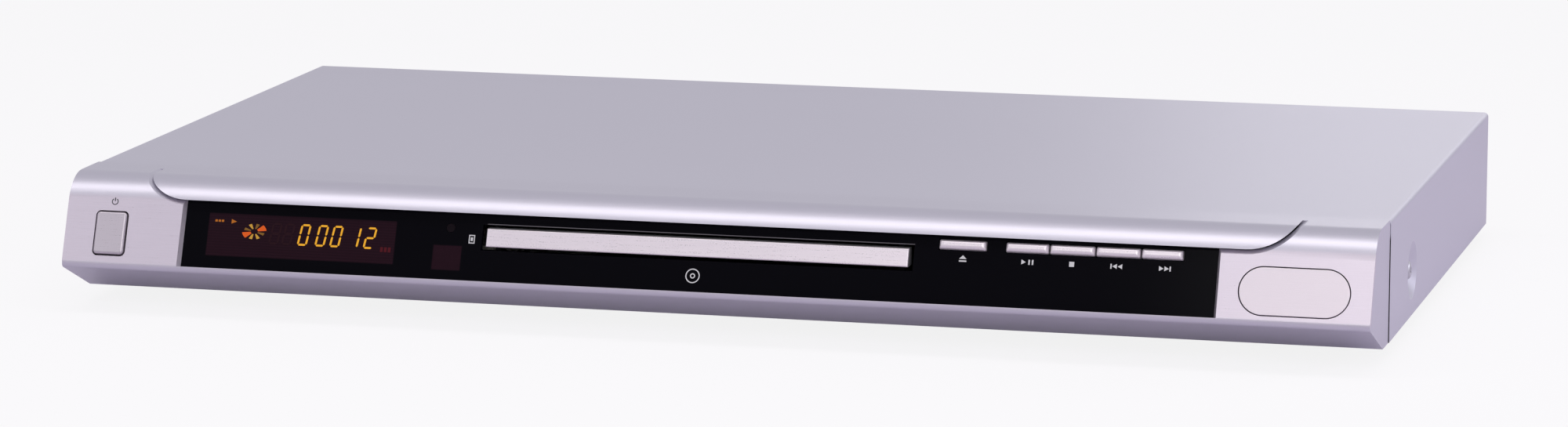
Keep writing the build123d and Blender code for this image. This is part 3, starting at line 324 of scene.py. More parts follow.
# ------------------------------------------------------------------ finishes
@dataclass(frozen=True)
class SilverPaint:
    """A silver paint with fine flake, brushed on the leaning face, with painted shade inside the joint beside
    it.

    The joint is where the cover meets the moulding at the player's ends. The painted shade is near-black and
    not metallic; it spans seam along Y, and starts below seam_high and further out than seam_reach.
    """

    name: str
    colour: Colour
    roughness: float = 0.36
    metallic: float = 0.72
    flake: float = 5200.0
    brushed: bool = False
    brushed_tint: Colour = (1.06, 1.0, 0.99)
    streaks: float = 0.5
    seam: tuple[float, float] | None = None
    seam_high: float = 40.2
    seam_fade: float = 3.0
    seam_reach: float = 213.9
    # near-black colour of the painted shade in the joint
    seam_shade_colour: Colour = (0.012, 0.011, 0.014)

    def build(self) -> bpy.types.Material:
        """Makes the material."""
        graph = Graph(self.name)
        flakes = graph.cells(self.flake)
        cloud = graph.noise(9.0, 3.0)
        shade = (flakes - 0.5) * 0.10 + (cloud - 0.5) * 0.05 + 0.5
        peel = graph.noise(900.0, 2.0)
        roughness = self.roughness + (flakes - 0.5) * 0.08
        height = peel * 0.5 + flakes * 0.2
        if self.brushed:
            flat = FACE.brushed(graph)
            streak = graph.noise(7000.0, 3.0, (0.012, 1.0, 1.0))
            shade = shade + (streak - 0.5) * self.streaks * flat
            roughness = roughness + (streak - 0.5) * 0.25 * flat
            height = height + streak * flat
        low, high = scaled(self.colour, 0.82), scaled(self.colour, 1.16)
        base = graph.mix(shade, low, high)
        if self.brushed:
            warm = graph.mix(shade, tinted(low, self.brushed_tint), tinted(high, self.brushed_tint))
            base = graph.mix(flat, base, warm)
        metallic = self.metallic
        # painted shade: beside the joint the paint turns near-black and loses its metal, standing in for the
        # shade in the gap
        if self.seam:
            side = graph.place("X").absolute().step(self.seam_reach - 0.1, self.seam_reach + 0.1)
            below = graph.place("Z").step(self.seam_high, self.seam_high - self.seam_fade)
            dark = graph.place("Y").between(*self.seam, 0.03) * side * below
            base = graph.mix(dark, base, self.seam_shade_colour)
            metallic = (1.0 - dark) * self.metallic
        return graph.surface(
            Base_Color=base,
            Metallic=metallic,
            Roughness=roughness,
            Normal=graph.bump(height, 0.006, 0.35),
        )


@dataclass(frozen=True)
class BlackWindow:
    """A glossy black window whose display and receiver zones let a little dull purple through."""

    name: str = "black_window"
    black: Colour = (0.0026, 0.0024, 0.0040)
    purple: Colour = (0.028, 0.0098, 0.0168)
    line_pitch: float = 0.9
    display: tuple[float, float, float, float] = (-166.0, -102.2, 6.2, 20.2)
    receiver: tuple[float, float, float, float] = (-89.1, -79.6, 5.2, 13.2)

    def build(self) -> bpy.types.Material:
        """Makes the material."""
        graph = Graph(self.name)
        x, u = graph.place("X"), FACE.up(graph)
        zones = []
        for left, right, low, high in (self.display, self.receiver):
            zones.append(x.between(left, right, 0.25) * u.between(low, high, 0.25))
        lines = (u.wrapped(self.line_pitch) / (self.line_pitch / 2)).absolute().step(0.55, 0.9)
        glow = zones[0] * (0.6 + 0.2 * lines) + zones[1] * (0.55 + 0.2 * graph.noise(500.0))
        dust = graph.noise(2600.0, 4.0).step(0.66, 0.8)
        base = graph.mix(glow, self.black, self.purple)
        return graph.surface(
            Base_Color=graph.mix(dust * 0.2, base, (0.012, 0.012, 0.015)),
            Roughness=0.07 + 0.05 * graph.noise(40.0, 4.0) + dust * 0.1,
            Specular_IOR_Level=0.03,
        )


@dataclass(frozen=True)
class MouldedPlastic:
    """A moulded plastic with a fine spark texture and slight colour drift."""

    name: str
    colour: Colour
    roughness: float = 0.5
    grain: float = 2600.0
    depth: float = 0.02
    specular: float = 0.4

    def build(self) -> bpy.types.Material:
        """Makes the material."""
        graph = Graph(self.name)
        grain, drift = graph.noise(self.grain, 3.0), graph.noise(14.0, 3.0)
        low, high = scaled(self.colour, 0.8), scaled(self.colour, 1.35, 0.004)
        return graph.surface(
            Base_Color=graph.mix(grain * 0.55 + drift * 0.45, low, high),
            Roughness=self.roughness + (grain - 0.5) * 0.2 + (drift - 0.5) * 0.1,
            Specular_IOR_Level=self.specular,
            Normal=graph.bump(grain, self.depth, 0.5),
        )


@dataclass(frozen=True)
class DrawnMetal:
    """A plated or rolled metal with streaks one way and faint blotches of a tint in its plating."""

    name: str
    colour: Colour
    roughness: float = 0.34
    direction: Direction = Direction.ACROSS
    streaks: float = 3000.0
    tint: Colour = (0.62, 0.60, 0.52)

    def build(self) -> bpy.types.Material:
        """Makes the material."""
        graph = Graph(self.name)
        streak = graph.noise(self.streaks, 3.0, self.direction.value)
        blotch = graph.noise(60.0, 5.0)
        drift = graph.noise(9.0, 2.0)
        base = graph.mix(streak, scaled(self.colour, 0.8), self.colour)
        return graph.surface(
            Base_Color=graph.mix(blotch.step(0.5, 0.72) * 0.22, base, self.tint),
            Metallic=1.0,
            Roughness=self.roughness + (streak - 0.5) * 0.22 + (drift - 0.5) * 0.12,
            Normal=graph.bump(streak, 0.008, 0.4),
        )


@dataclass(frozen=True)
class Rubber:
    """A dull black rubber with a fine grain and grey dust in it."""

    name: str = "foot_rubber"
    colour: Colour = (0.016, 0.016, 0.017)
    dust: Colour = (0.075, 0.073, 0.07)

    def build(self) -> bpy.types.Material:
        """Makes the material."""
        graph = Graph(self.name)
        grain, dust = graph.noise(3800.0, 4.0), graph.noise(120.0, 6.0).step(0.48, 0.8)
        return graph.surface(
            Base_Color=graph.mix(dust * 0.5 + grain * 0.15, self.colour, self.dust),
            Roughness=0.72 + 0.16 * grain,
            Specular_IOR_Level=0.3,
            Normal=graph.bump(grain, 0.03, 0.6),
        )


@dataclass(frozen=True)
class CircuitBoard:
    """A green board with copper tracks under the solder mask and tinned pads."""

    name: str = "circuit_board"
    mask: Colour = (0.012, 0.09, 0.035)
    tin: Colour = (0.62, 0.60, 0.56)
    pad_pitch: float = 5.08

    def build(self) -> bpy.types.Material:
        """Makes the material."""
        graph = Graph(self.name)
        x, y = graph.place("X"), graph.place("Y")
        bend = graph.noise(45.0, 1.0)
        tracks = []
        for value, pitch in ((x + bend * 9.0, 3.2), (y + bend * 7.0, 4.1)):
            tracks.append((value.wrapped(pitch) / pitch).absolute().step(0.16, 0.10))
        region = graph.cells(70.0).step(0.45, 0.5)
        track = tracks[0] * region + tracks[1] * (1.0 - region)
        pad_x, pad_y = x.wrapped(self.pad_pitch), y.wrapped(self.pad_pitch)
        radius = (pad_x * pad_x + pad_y * pad_y) ** 0.5
        pads = radius.step(0.9, 0.7) * graph.cells(160.0).step(0.6, 0.62)
        base = graph.mix(track, self.mask, scaled(self.mask, 2.1))
        grain = graph.noise(900.0, 3.0)
        return graph.surface(
            Base_Color=graph.mix(pads, base, self.tin),
            Metallic=pads * 0.9,
            Roughness=0.3 + 0.12 * grain,
            Normal=graph.bump(track + pads * 1.5, 0.03, 0.8),
        )


@dataclass(frozen=True)
class PhonoSockets:
    """A black socket block whose plated barrels each hold a coloured ring."""

    name: str = "phono_sockets"
    first_x: float = 104.0
    pitch: float = 14.0
    lower_z: float = 18.5
    barrel_front: float = 123.41
    insert_radius: float = 3.35
    lower_row: tuple[Colour, ...] = ((0.75, 0.5, 0.01), (0.7, 0.7, 0.68), (0.5, 0.01, 0.01))
    upper_row: tuple[Colour, ...] = ((0.01, 0.26, 0.05), (0.01, 0.05, 0.4), (0.5, 0.01, 0.01))
    plating: Colour = (0.66, 0.64, 0.6)

    def build(self) -> bpy.types.Material:
        """Makes the material."""
        graph = Graph(self.name)
        x, z = graph.place("X"), graph.place("Z")
        across, up = (x - self.first_x).wrapped(self.pitch), (z - self.lower_z).wrapped(self.pitch)
        radius = (across * across + up * up) ** 0.5
        second, third = (
            x.step(middle - 0.1, middle + 0.1)
            for middle in (self.first_x + self.pitch / 2, self.first_x + self.pitch * 1.5)
        )
        upper = z.step(self.lower_z + self.pitch / 2 - 0.1, self.lower_z + self.pitch / 2 + 0.1)
        rows = []
        for colours in (self.lower_row, self.upper_row):
            rows.append(graph.mix(third, graph.mix(second, colours[0], colours[1]), colours[2]))
        insert = graph.mix(upper, *rows)
        barrel = graph.place("Y").step(self.barrel_front - 0.1, self.barrel_front + 0.1)
        ring = radius.step(self.insert_radius + 0.06, self.insert_radius - 0.06) * barrel
        metal = barrel * (1.0 - ring)
        grain = graph.noise(2200.0, 3.0)
        plastic = graph.mix(grain, (0.012, 0.012, 0.013), (0.02, 0.02, 0.021))
        base = graph.mix(metal, plastic, self.plating)
        return graph.surface(
            Base_Color=graph.mix(ring, base, insert),
            Metallic=metal,
            Roughness=0.42 - 0.2 * metal + 0.12 * grain,
            Normal=graph.bump(grain, 0.012, 0.4),
        )


@dataclass(frozen=True)
class MainsInlet:
    """A black socket with two plated pins."""

    name: str = "mains_inlet"
    centre_x: float = -185.0
    centre_z: float = 26.0
    pin_offset: float = 5.4
    pin_radius: float = 1.3
    plating: Colour = (0.68, 0.66, 0.62)

    def build(self) -> bpy.types.Material:
        """Makes the material."""
        graph = Graph(self.name)
        across = (graph.place("X") - self.centre_x).absolute() - self.pin_offset
        up = graph.place("Z") - self.centre_z
        pin = ((across * across + up * up) ** 0.5).step(self.pin_radius + 0.05, self.pin_radius - 0.02)
        grain = graph.noise(2400.0, 3.0)
        plastic = graph.mix(grain, (0.010, 0.010, 0.011), (0.022, 0.022, 0.023))
        return graph.surface(
            Base_Color=graph.mix(pin, plastic, self.plating),
            Metallic=pin,
            Roughness=0.46 - 0.2 * pin + 0.1 * grain,
            Normal=graph.bump(grain, 0.015, 0.5),
        )


@dataclass(frozen=True)
class Striped:
    """A sleeve or core with even stripes one way, such as cable conductors or stacked laminations."""

    name: str
    colour: Colour
    stripe: Colour
    axis: str = "X"
    pitch: float = 1.0
    share: float = 0.3
    metallic: float = 0.0
    roughness: float = 0.45

    def build(self) -> bpy.types.Material:
        """Makes the material."""
        graph = Graph(self.name)
        line = (graph.place(self.axis).wrapped(self.pitch) / self.pitch).absolute()
        line = line.step(self.share / 2 + 0.05, self.share / 2 - 0.05)
        grain = graph.noise(1500.0, 3.0)
        base = graph.mix(line, self.colour, self.stripe)
        return graph.surface(
            Base_Color=graph.mix(grain * 0.25, base, scaled(self.colour, 0.6)),
            Metallic=self.metallic,
            Roughness=self.roughness + (grain - 0.5) * 0.2,
            Normal=graph.bump(line * 0.6 + grain * 0.4, 0.03, 0.5),
        )


@dataclass(frozen=True)
class Lens:
    """A clear or tinted lens with a polished face."""

    name: str
    colour: Colour
    coat: float = 0.6
    specular: float = 0.5

    def build(self) -> bpy.types.Material:
        """Makes the material."""
        graph = Graph(self.name)
        haze = graph.noise(700.0, 3.0)
        return graph.surface(
            Base_Color=graph.mix(haze * 0.5, self.colour, scaled(self.colour, 1.6)),
            Roughness=0.05 + 0.06 * haze,
            Specular_IOR_Level=self.specular,
            Coat_Weight=self.coat,
        )


@dataclass(frozen=True)
class Ink:
    """A printed ink, slightly broken up by the surface under it."""

    name: str
    colour: Colour

    def build(self) -> bpy.types.Material:
        """Makes the material."""
        graph = Graph(self.name)
        wear = graph.noise(5200.0, 4.0)
        return graph.surface(
            Base_Color=graph.mix(wear * 0.4, self.colour, scaled(self.colour, 0.6)),
            Roughness=0.5 + 0.15 * wear,
            Specular_IOR_Level=0.25,
        )


@dataclass(frozen=True)
class Glow:
    """A display element that gives light, slightly uneven behind its fine mesh; on an unlit element this is a
    faint painted glow.
    """

    name: str
    colour: Colour
    strength: float = 1.0

    def build(self) -> bpy.types.Material:
        """Makes the material."""
        graph = Graph(self.name)
        mesh = graph.noise(1900.0, 2.0)
        lit = graph.mix(mesh * 0.7, self.colour, scaled(self.colour, 0.7))
        return graph.surface(
            Base_Color=graph.mix(mesh, (0.008, 0.004, 0.005), (0.014, 0.006, 0.008)),
            Roughness=0.3 + 0.1 * mesh,
            Emission_Color=lit,
            Emission_Strength=self.strength,
            Specular_IOR_Level=0.03,
        )


# ------------------------------------------------------------------ shapes
class Shape:
    """A mesh being drawn with bmesh operators, in millimetres."""

    def __init__(self) -> None:
        """Starts an empty mesh."""
        self.bm = bmesh.new()

    def polygon(self, points: list[Point]) -> Shape:
        """Adds one flat face through the points, drawn anticlockwise."""
        corners = [self.bm.verts.new((x, u, 0.0)) for x, u in points]
        self.bm.faces.new(corners)
        return self

    def bar(self, left: float, right: float, low: float, high: float) -> Shape:
        """Adds an upright rectangle."""
        return self.polygon([(left, low), (right, low), (right, high), (left, high)])

    def sector(self, centre: Point, radii: Point, start: float, turn: float, steps: int) -> Shape:
        """Adds part of a ring by spinning its starting edge.

        Args:
            centre: The ring's middle.
            radii: Its inside and outside radius.
            start: The angle of its first edge, in degrees from the x axis.
            turn: How far it goes round anticlockwise, in degrees.
            steps: How many faces it has.

        Returns:
            This shape.
        """
        angle = math.radians(start)
        ends = []
        for radius in radii:
            place = (centre[0] + radius * math.cos(angle), centre[1] + radius * math.sin(angle), 0.0)
            ends.append(self.bm.verts.new(place))
        edge = self.bm.edges.new(ends)
        bmesh.ops.spin(
            self.bm,
            geom=[*ends, edge],
            cent=(*centre, 0.0),
            axis=(0, 0, 1),
            angle=math.radians(turn),
            steps=steps,
            use_merge=abs(turn) >= 360,
        )
        return self

    def thicken(self, amount: float) -> Shape:
        """Gives every flat face a thickness towards +Z."""
        bmesh.ops.remove_doubles(self.bm, verts=self.bm.verts, dist=1e-5)
        bmesh.ops.recalc_face_normals(self.bm, faces=self.bm.faces)
        for face in list(self.bm.faces):
            if face.normal.z > 0:
                face.normal_flip()
        base = list(self.bm.faces)
        grown = bmesh.ops.extrude_face_region(self.bm, geom=base, use_keep_orig=True)
        moved = [part for part in grown["geom"] if isinstance(part, bmesh.types.BMVert)]
        bmesh.ops.translate(self.bm, verts=moved, vec=(0, 0, amount))
        bmesh.ops.recalc_face_normals(self.bm, faces=self.bm.faces)
        return self

    def slant(self, amount: float, about: float) -> Shape:
        """Leans the shape to the right by a share of its height over a line."""
        for vertex in self.bm.verts:
            vertex.co.x += (vertex.co.y - about) * amount
        return self

    def squash(self, centre: Point, factors: Point) -> Shape:
        """Scales the shape across and up about a centre."""
        middle = Matrix.Translation((*centre, 0.0))
        matrix = middle @ Matrix.Diagonal((*factors, 1.0)).to_4x4() @ middle.inverted()
        bmesh.ops.transform(self.bm, verts=self.bm.verts, matrix=matrix)
        return self

    def finish(self, name: str, material: bpy.types.Material, matrix: Matrix) -> bpy.types.Object:
        """Turns the drawing into an object that rides on the player's body.

        Args:
            name: The object's name.
            material: What it is made of.
            matrix: The transform from the drawing, in metres, to the player's frame.

        Returns:
            The new object.
        """
        bmesh.ops.scale(self.bm, verts=self.bm.verts, vec=(MM, MM, MM))
        bmesh.ops.transform(self.bm, verts=self.bm.verts, matrix=matrix)
        mesh = bpy.data.meshes.new(name)
        self.bm.to_mesh(mesh)
        self.bm.free()
        made = bpy.data.objects.new(name, mesh)
        bpy.context.scene.collection.objects.link(made)
        made.data.materials.append(material)
        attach(made, "body")
        LOG.info("made %s with %d faces", name, len(mesh.polygons))
        return made


# ------------------------------------------------------------------ front
@dataclass
class FrontPieces:
    """Thin flat pieces that lie on the window or on the moulding round it."""

    window_out: float = -1.79
    moulding_out: float = 0.01
    thickness: float = 0.04

    def lay(self, shape: Shape, name: str, material: bpy.types.Material, out: float | None = None) -> None:
        """Lays a flat drawing on the front.

        Args:
            shape: The drawing.
            name: The piece's name.
            material: What it is made of.
            out: How far its back is in front of the face; on the window if not given.
        """
        lift = Matrix.Translation((0, 0, (self.window_out if out is None else out) * MM))
        shape.thicken(self.thickness).finish(name, material, FACE.matrix() @ lift)


@dataclass
class Display(FrontPieces):
    """The lit display: a clock in slanted seven-bar figures, a wheel of wedges and small marks."""

    figure_low: float = 10.8
    figure_high: float = 17.9
    figure_width: float = 3.4
    stroke: float = 0.64
    gap: float = 0.12
    slant: float = 0.15
    figures: tuple[tuple[str, float], ...] = (
        ("0", -134.8),
        ("0", -128.8),
        ("0", -123.8),
        ("1", -117.6),
        ("2", -112.4),
    )
    ghosts: tuple[float, ...] = (-144.6, -140.2)
    colon_x: float = -130.0
    wheel_centre: Point = (-150.2, 14.7)
    wheel_shape: Point = (1.04, 0.76)
    petals: int = 8
    first_petal: float = 27.0
    petal_radii: Point = (1.2, 3.4)
    petal_turn: float = 20.0
    accent_radii: Point = (1.2, 4.0)
    accent_turn: float = 38.0
    marks_left: tuple[float, ...] = (-163.9, -162.8, -161.7)
    red_left: tuple[float, ...] = (-106.9, -105.6, -104.3)

    @property
    def middle(self) -> float:
        """Gives the height of the figures' middle bar."""
        return (self.figure_low + self.figure_high) / 2

    def bars(self, left: float) -> dict[str, list[Point]]:
        """Gives the outline of each of a figure's seven bars.

        Args:
            left: The figure's left edge.

        Returns:
            Six corners for each bar, by its letter.
        """
        half, gap = self.stroke / 2, self.gap
        right = left + self.figure_width
        rows = {"d": self.figure_low + half, "g": self.middle, "a": self.figure_high - half}
        outlines = {}
        for letter, row in rows.items():
            low, high = left + half + gap, right - half - gap
            lower = [(low, row), (low + half, row - half), (high - half, row - half)]
            upper = [(high, row), (high - half, row + half), (low + half, row + half)]
            outlines[letter] = lower + upper
        for letter, column, low, high in (
            ("e", left + half, rows["d"] + gap, rows["g"] - gap),
            ("c", right - half, rows["d"] + gap, rows["g"] - gap),
            ("f", left + half, rows["g"] + gap, rows["a"] - gap),
            ("b", right - half, rows["g"] + gap, rows["a"] - gap),
        ):
            right_side = [(column, low), (column + half, low + half), (column + half, high - half)]
            left_side = [(column, high), (column - half, high - half), (column - half, low + half)]
            outlines[letter] = right_side + left_side
        return outlines

    def figure(self, shape: Shape, digit: str, left: float) -> None:
        """Adds one figure's lit bars to a shape."""
        outlines = self.bars(left)
        for letter in LIT_BARS[digit]:
            shape.polygon(outlines[letter])

    def clock(self) -> None:
        """Makes the lit figures, and the colon and figures that aren't lit, which get a faint painted glow.
        """
        lit, unlit = Shape(), Shape()
        for digit, left in self.figures:
            self.figure(lit, digit, left)
        for row in (self.middle - 1.4, self.middle + 1.4):
            unlit.bar(self.colon_x - 0.35, self.colon_x + 0.35, row - 0.4, row + 0.4)
        for left in self.ghosts:
            self.figure(unlit, "8", left)
        amber = Glow("display_amber", (0.90, 0.43, 0.03), 1.0).build()
        # the unlit colon and figures get a faint dull red emission: a painted glow, though they are not lit
        dark = Glow("display_unlit_painted_glow", (0.012, 0.0035, 0.006), 1.0).build()
        self.lay(lit.slant(self.slant, self.middle), "display_clock", amber)
        self.lay(unlit.slant(self.slant, self.middle), "display_unlit_figures", dark)

    def wheel(self) -> None:
        """Makes the wheel of wedges: two long orange ones, and dull and bright yellow ones between them."""
        bright, accent, faint = Shape(), Shape(), Shape()
        for number in range(self.petals):
            middle = number * 360.0 / self.petals + self.first_petal
            if number in (0, 4):
                shape, radii, turn, steps = accent, self.accent_radii, self.accent_turn, 4
            else:
                shape, radii, turn, steps = bright, self.petal_radii, self.petal_turn, 3
                if number in (1, 3, 7):
                    shape = faint
            shape.sector(self.wheel_centre, radii, middle - turn / 2, turn, steps)
        for shape, name, glow in (
            (bright, "display_wheel", Glow("display_yellow", (0.62, 0.34, 0.05), 0.9)),
            (faint, "display_wheel_dull", Glow("display_dull", (0.26, 0.13, 0.025), 0.8)),
            (accent, "display_wheel_accent", Glow("display_orange", (0.72, 0.11, 0.014), 1.0)),
        ):
            self.lay(shape.squash(self.wheel_centre, self.wheel_shape), name, glow.build())

    def marks(self) -> None:
        """Makes the small marks at the display's two ends."""
        arrow = Shape().polygon([(-158.3, 16.95), (-156.5, 17.7), (-158.3, 18.45)])
        for left in self.marks_left:
            arrow.bar(left, left + 0.8, 17.4, 18.1)
        self.lay(arrow, "display_marks", Glow("display_marks", (0.55, 0.17, 0.02), 0.8).build())
        red = Shape()
        for left in self.red_left:
            red.bar(left, left + 0.9, 10.0, 11.6)
        self.lay(red, "display_red_mark", Glow("display_dim_red", (0.07, 0.006, 0.010), 1.0).build())

    def build(self) -> None:
        """Makes the display's pieces."""
        self.clock()
        self.wheel()
        self.marks()


LIT_BARS = {"0": "abcdef", "1": "bc", "2": "abged", "8": "abcdefg"}


@dataclass
class PrintedMarks(FrontPieces):
    """The plain symbols beside the controls, and a generic disc in the middle of the window."""

    thickness: float = 0.03
    row: float = 16.75
    size: float = 0.8
    eject: tuple[float, float, float] = (83.4, 84.6, 85.8)
    play_x: float = 104.0
    bars_x: tuple[Point, ...] = ((105.6, 106.1), (106.7, 107.2), (118.6, 120.2))
    skips: tuple[tuple[float, int], ...] = ((133.9, -1), (148.6, 1))
    power_at: Point = (-198.4, 22.1)
    disc_at: Point = (-2.3, 7.2)
    square_at: Point = (-76.5, 15.6)
    square_half: Point = (1.0, 1.4)
    square_line: float = 0.3
    # a thin grey strip along the slot's upper lip, a painted highlight of its edge: left, right, low and high
    slot_lip: tuple[float, float, float, float] = (-71.6, 68.9, 20.62, 20.86)

    def triangle(self, shape: Shape, x: float, facing: int) -> None:
        """Adds a triangle that points right (1) or left (-1)."""
        points = [(x - facing * self.size * 0.8, self.row - self.size), (x + facing * self.size, self.row)]
        points.append((x - facing * self.size * 0.8, self.row + self.size))
        shape.polygon(points if facing > 0 else points[::-1])

    def keys(self) -> Shape:
        """Draws the symbols under the five keys: eject, play and pause, stop, skip back and skip forward."""
        keys = Shape()
        left, middle, right = self.eject
        keys.polygon([(left, 16.8), (right, 16.8), (middle, 18.0)]).bar(left, right, 15.9, 16.35)
        self.triangle(keys, self.play_x, 1)
        for left, right in self.bars_x:
            keys.bar(left, right, self.row - self.size, self.row + self.size)
        for x, facing in self.skips:
            self.triangle(keys, x - facing * 0.9, facing)
            self.triangle(keys, x + facing * 0.8, facing)
            edge = x + facing * 2.0
            keys.bar(edge - 0.22, edge + 0.22, self.row - self.size, self.row + self.size)
        return keys

    def square(self) -> Shape:
        """Draws an upright frame with a block in its middle."""
        x, u = self.square_at
        wide, high = self.square_half
        line = self.square_line
        frame = Shape()
        for low, top in ((u - high, u - high + line), (u + high - line, u + high)):
            frame.bar(x - wide, x + wide, low, top)
        for left, right in ((x - wide, x - wide + line), (x + wide - line, x + wide)):
            frame.bar(left, right, u - high + line, u + high - line)
        return frame.bar(x - 0.35, x + 0.35, u - 0.6, u + 0.6)

    def power(self) -> Shape:
        """Draws an open ring with a stroke in its gap."""
        x, u = self.power_at
        ring = Shape().sector(self.power_at, (0.85, 1.15), 125, 290, 28)
        return ring.bar(x - 0.16, x + 0.16, u + 0.1, u + 1.3)

    def build(self) -> None:
        """Makes the printed pieces."""
        white = Ink("white_ink", (0.72, 0.72, 0.74)).build()
        disc = Shape().sector(self.disc_at, (2.0, 2.35), 0, 360, 40)
        disc.sector(self.disc_at, (0.5, 0.85), 0, 360, 24)
        self.lay(self.keys(), "key_symbols", white)
        self.lay(disc, "disc_symbol", white)
        self.lay(self.square(), "square_symbol", white)
        # painted highlight: a thin grey ink strip stands in for the lit edge of the slot's upper lip
        self.lay(Shape().bar(*self.slot_lip), "slot_lip", Ink("slot_lip_painted_highlight", (0.15, 0.14, 0.155)).build())
        self.lay(self.power(), "power_symbol", Ink("grey_ink", (0.06, 0.06, 0.07)).build(), self.moulding_out)


# ------------------------------------------------------------------ screws
@dataclass(frozen=True)
class ScrewPlace:
    """Where a screw's head sits, which way it faces, its shank's length and its turn in degrees."""

    seat: Place
    facing: Place
    length: float
    turn: float

    def matrix(self) -> Matrix:
        """Gives the transform that puts a screw drawn along +Z there."""
        aim = Vector(self.facing).to_track_quat("Z", "Y").to_matrix().to_4x4()
        return Matrix.Translation(self.seat) @ aim @ Matrix.Rotation(math.radians(self.turn), 4, "Z")


@dataclass
class CrossHeadScrews:
    """Domed screws with a cross recess, in place of the plain ones that show outside."""

    head_radius: float = 3.0
    head_height: float = 1.5
    rim_height: float = 0.525
    dome_steps: int = 5
    shank_radius: float = 1.4
    tip_length: float = 0.4
    recess_long: float = 1.7
    recess_reach: float = 1.462
    recess_wide: float = 0.42
    recess_deep: float = 0.8
    cover_length: float = 4.9
    foot_length: float = 3.1
    side_seat: Place = (213.0, -49.59, 19.7)
    side_turns: tuple[tuple[int, float], ...] = ((-1, 20), (1, 35))
    rear_seat: Point = (123.41, 40.7)
    rear_turns: tuple[Point, ...] = ((-180.0, 10), (0.0, 50), (180.0, 75))
    foot_seats: tuple[Point, ...] = ((-175, -56.59), (-175, 83.41), (175, -56.59), (175, 83.41))
    foot_z: float = 3.0

    def cover_places(self) -> list[ScrewPlace]:
        """Gives the places of the cover's screws, in its sides and its rear lip."""
        x, y, z = self.side_seat
        places = []
        for side, turn in self.side_turns:
            places.append(ScrewPlace((side * x, y, z), (side, 0, 0), self.cover_length, turn))
        for across, turn in self.rear_turns:
            places.append(ScrewPlace((across, *self.rear_seat), (0, 1, 0), self.cover_length, turn))
        return places

    def foot_places(self) -> list[ScrewPlace]:
        """Gives the places of the feet's screws."""
        return [
            ScrewPlace((x, y, self.foot_z), (0, 0, -1), self.foot_length, 15 + 20 * number)
            for number, (x, y) in enumerate(self.foot_seats)
        ]

    def screw(self, length: float) -> bmesh.types.BMesh:
        """Draws one screw along +Z, its head's seat at the origin.

        Args:
            length: The shank's length below the seat.

        Returns:
            The drawing, in millimetres.
        """
        bm = bmesh.new()
        outline = [(0.0, -length), (self.shank_radius * 0.8, -length)]
        outline += [(self.shank_radius, -length + self.tip_length), (self.shank_radius, 0.0)]
        outline += [(self.head_radius, 0.0), (self.head_radius, self.rim_height)]
        for step in range(1, self.dome_steps + 1):
            angle = math.pi / 2 * step / self.dome_steps
            across = self.recess_long + (self.head_radius - self.recess_long) * math.cos(angle)
            outline.append((across, self.rim_height + (self.head_height - self.rim_height) * math.sin(angle)))
        verts = [bm.verts.new((radius, 0.0, height)) for radius, height in outline]
        edges = [bm.edges.new(pair) for pair in zip(verts, verts[1:])]
        bmesh.ops.spin(
            bm,
            geom=verts + edges,
            cent=(0, 0, 0),
            axis=(0, 0, 1),
            angle=2 * math.pi,
            steps=32,
            use_merge=True,
        )
        bmesh.ops.remove_doubles(bm, verts=bm.verts, dist=1e-4)
        self.recess(bm)
        bmesh.ops.recalc_face_normals(bm, faces=bm.faces)
        return bm

    def recess(self, bm: bmesh.types.BMesh) -> None:
        """Closes the head's top with a cross-shaped pit.

        Args:
            bm: The screw's drawing, open at the top of its head.
        """
        rim = [edge for edge in bm.edges if edge.is_boundary and edge.verts[0].co.z > 0]
        long, wide, top = self.recess_reach, self.recess_wide, self.head_height
        points = []
        for quarter in range(4):
            for x, y in ((long, -wide), (long, wide), (wide, wide)):
                spun = Matrix.Rotation(math.pi / 2 * quarter, 3, "Z") @ Vector((x, y, top))
                points.append(bm.verts.new(spun))
        cross = [bm.edges.new((points[i], points[(i + 1) % len(points)])) for i in range(len(points))]
        bmesh.ops.triangle_fill(bm, edges=rim + cross, use_beauty=True)
        flat = [face for face in bm.faces if face.calc_center_median().z > top - 1e-4]
        bmesh.ops.delete(bm, geom=[face for face in flat if self.in_cross(face)], context="FACES_ONLY")
        walls = bmesh.ops.extrude_edge_only(bm, edges=cross)
        lower = [part for part in walls["geom"] if isinstance(part, bmesh.types.BMVert)]
        bmesh.ops.translate(bm, verts=lower, vec=(0, 0, -self.recess_deep))
        bmesh.ops.scale(bm, verts=lower, vec=(0.75, 0.75, 1.0))
        floor = [part for part in walls["geom"] if isinstance(part, bmesh.types.BMEdge)]
        floor = [edge for edge in floor if edge.is_boundary]
        bmesh.ops.contextual_create(bm, geom=floor)

    def in_cross(self, face: bmesh.types.BMFace) -> bool:
        """Says whether a face of the head's top lies in the cross."""
        centre = face.calc_center_median()
        short, long = sorted((abs(centre.x), abs(centre.y)))
        return short < self.recess_wide and long < self.recess_reach

    def build(self) -> None:
        """Makes the screws of the cover and the feet."""
        tint = (0.6, 0.58, 0.62)
        steel = DrawnMetal("screw_steel", (0.56, 0.55, 0.60), 0.32, Direction.UPRIGHT, tint=tint).build()
        for node, places in (("cover_screws", self.cover_places()), ("foot_screws", self.foot_places())):
            shape = Shape()
            for place in places:
                one = self.screw(place.length)
                bmesh.ops.transform(one, verts=one.verts, matrix=place.matrix())
                mesh = bpy.data.meshes.new("one_screw")
                one.to_mesh(mesh)
                one.free()
                shape.bm.from_mesh(mesh)
                bpy.data.meshes.remove(mesh)
            made = shape.finish(node + "_cross_head", steel, Matrix.Identity(4))
            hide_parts(node)


# ------------------------------------------------------------------ dressing the frame
KEYS = ("open_close", "play", "stop", "skip_back", "skip_forward")


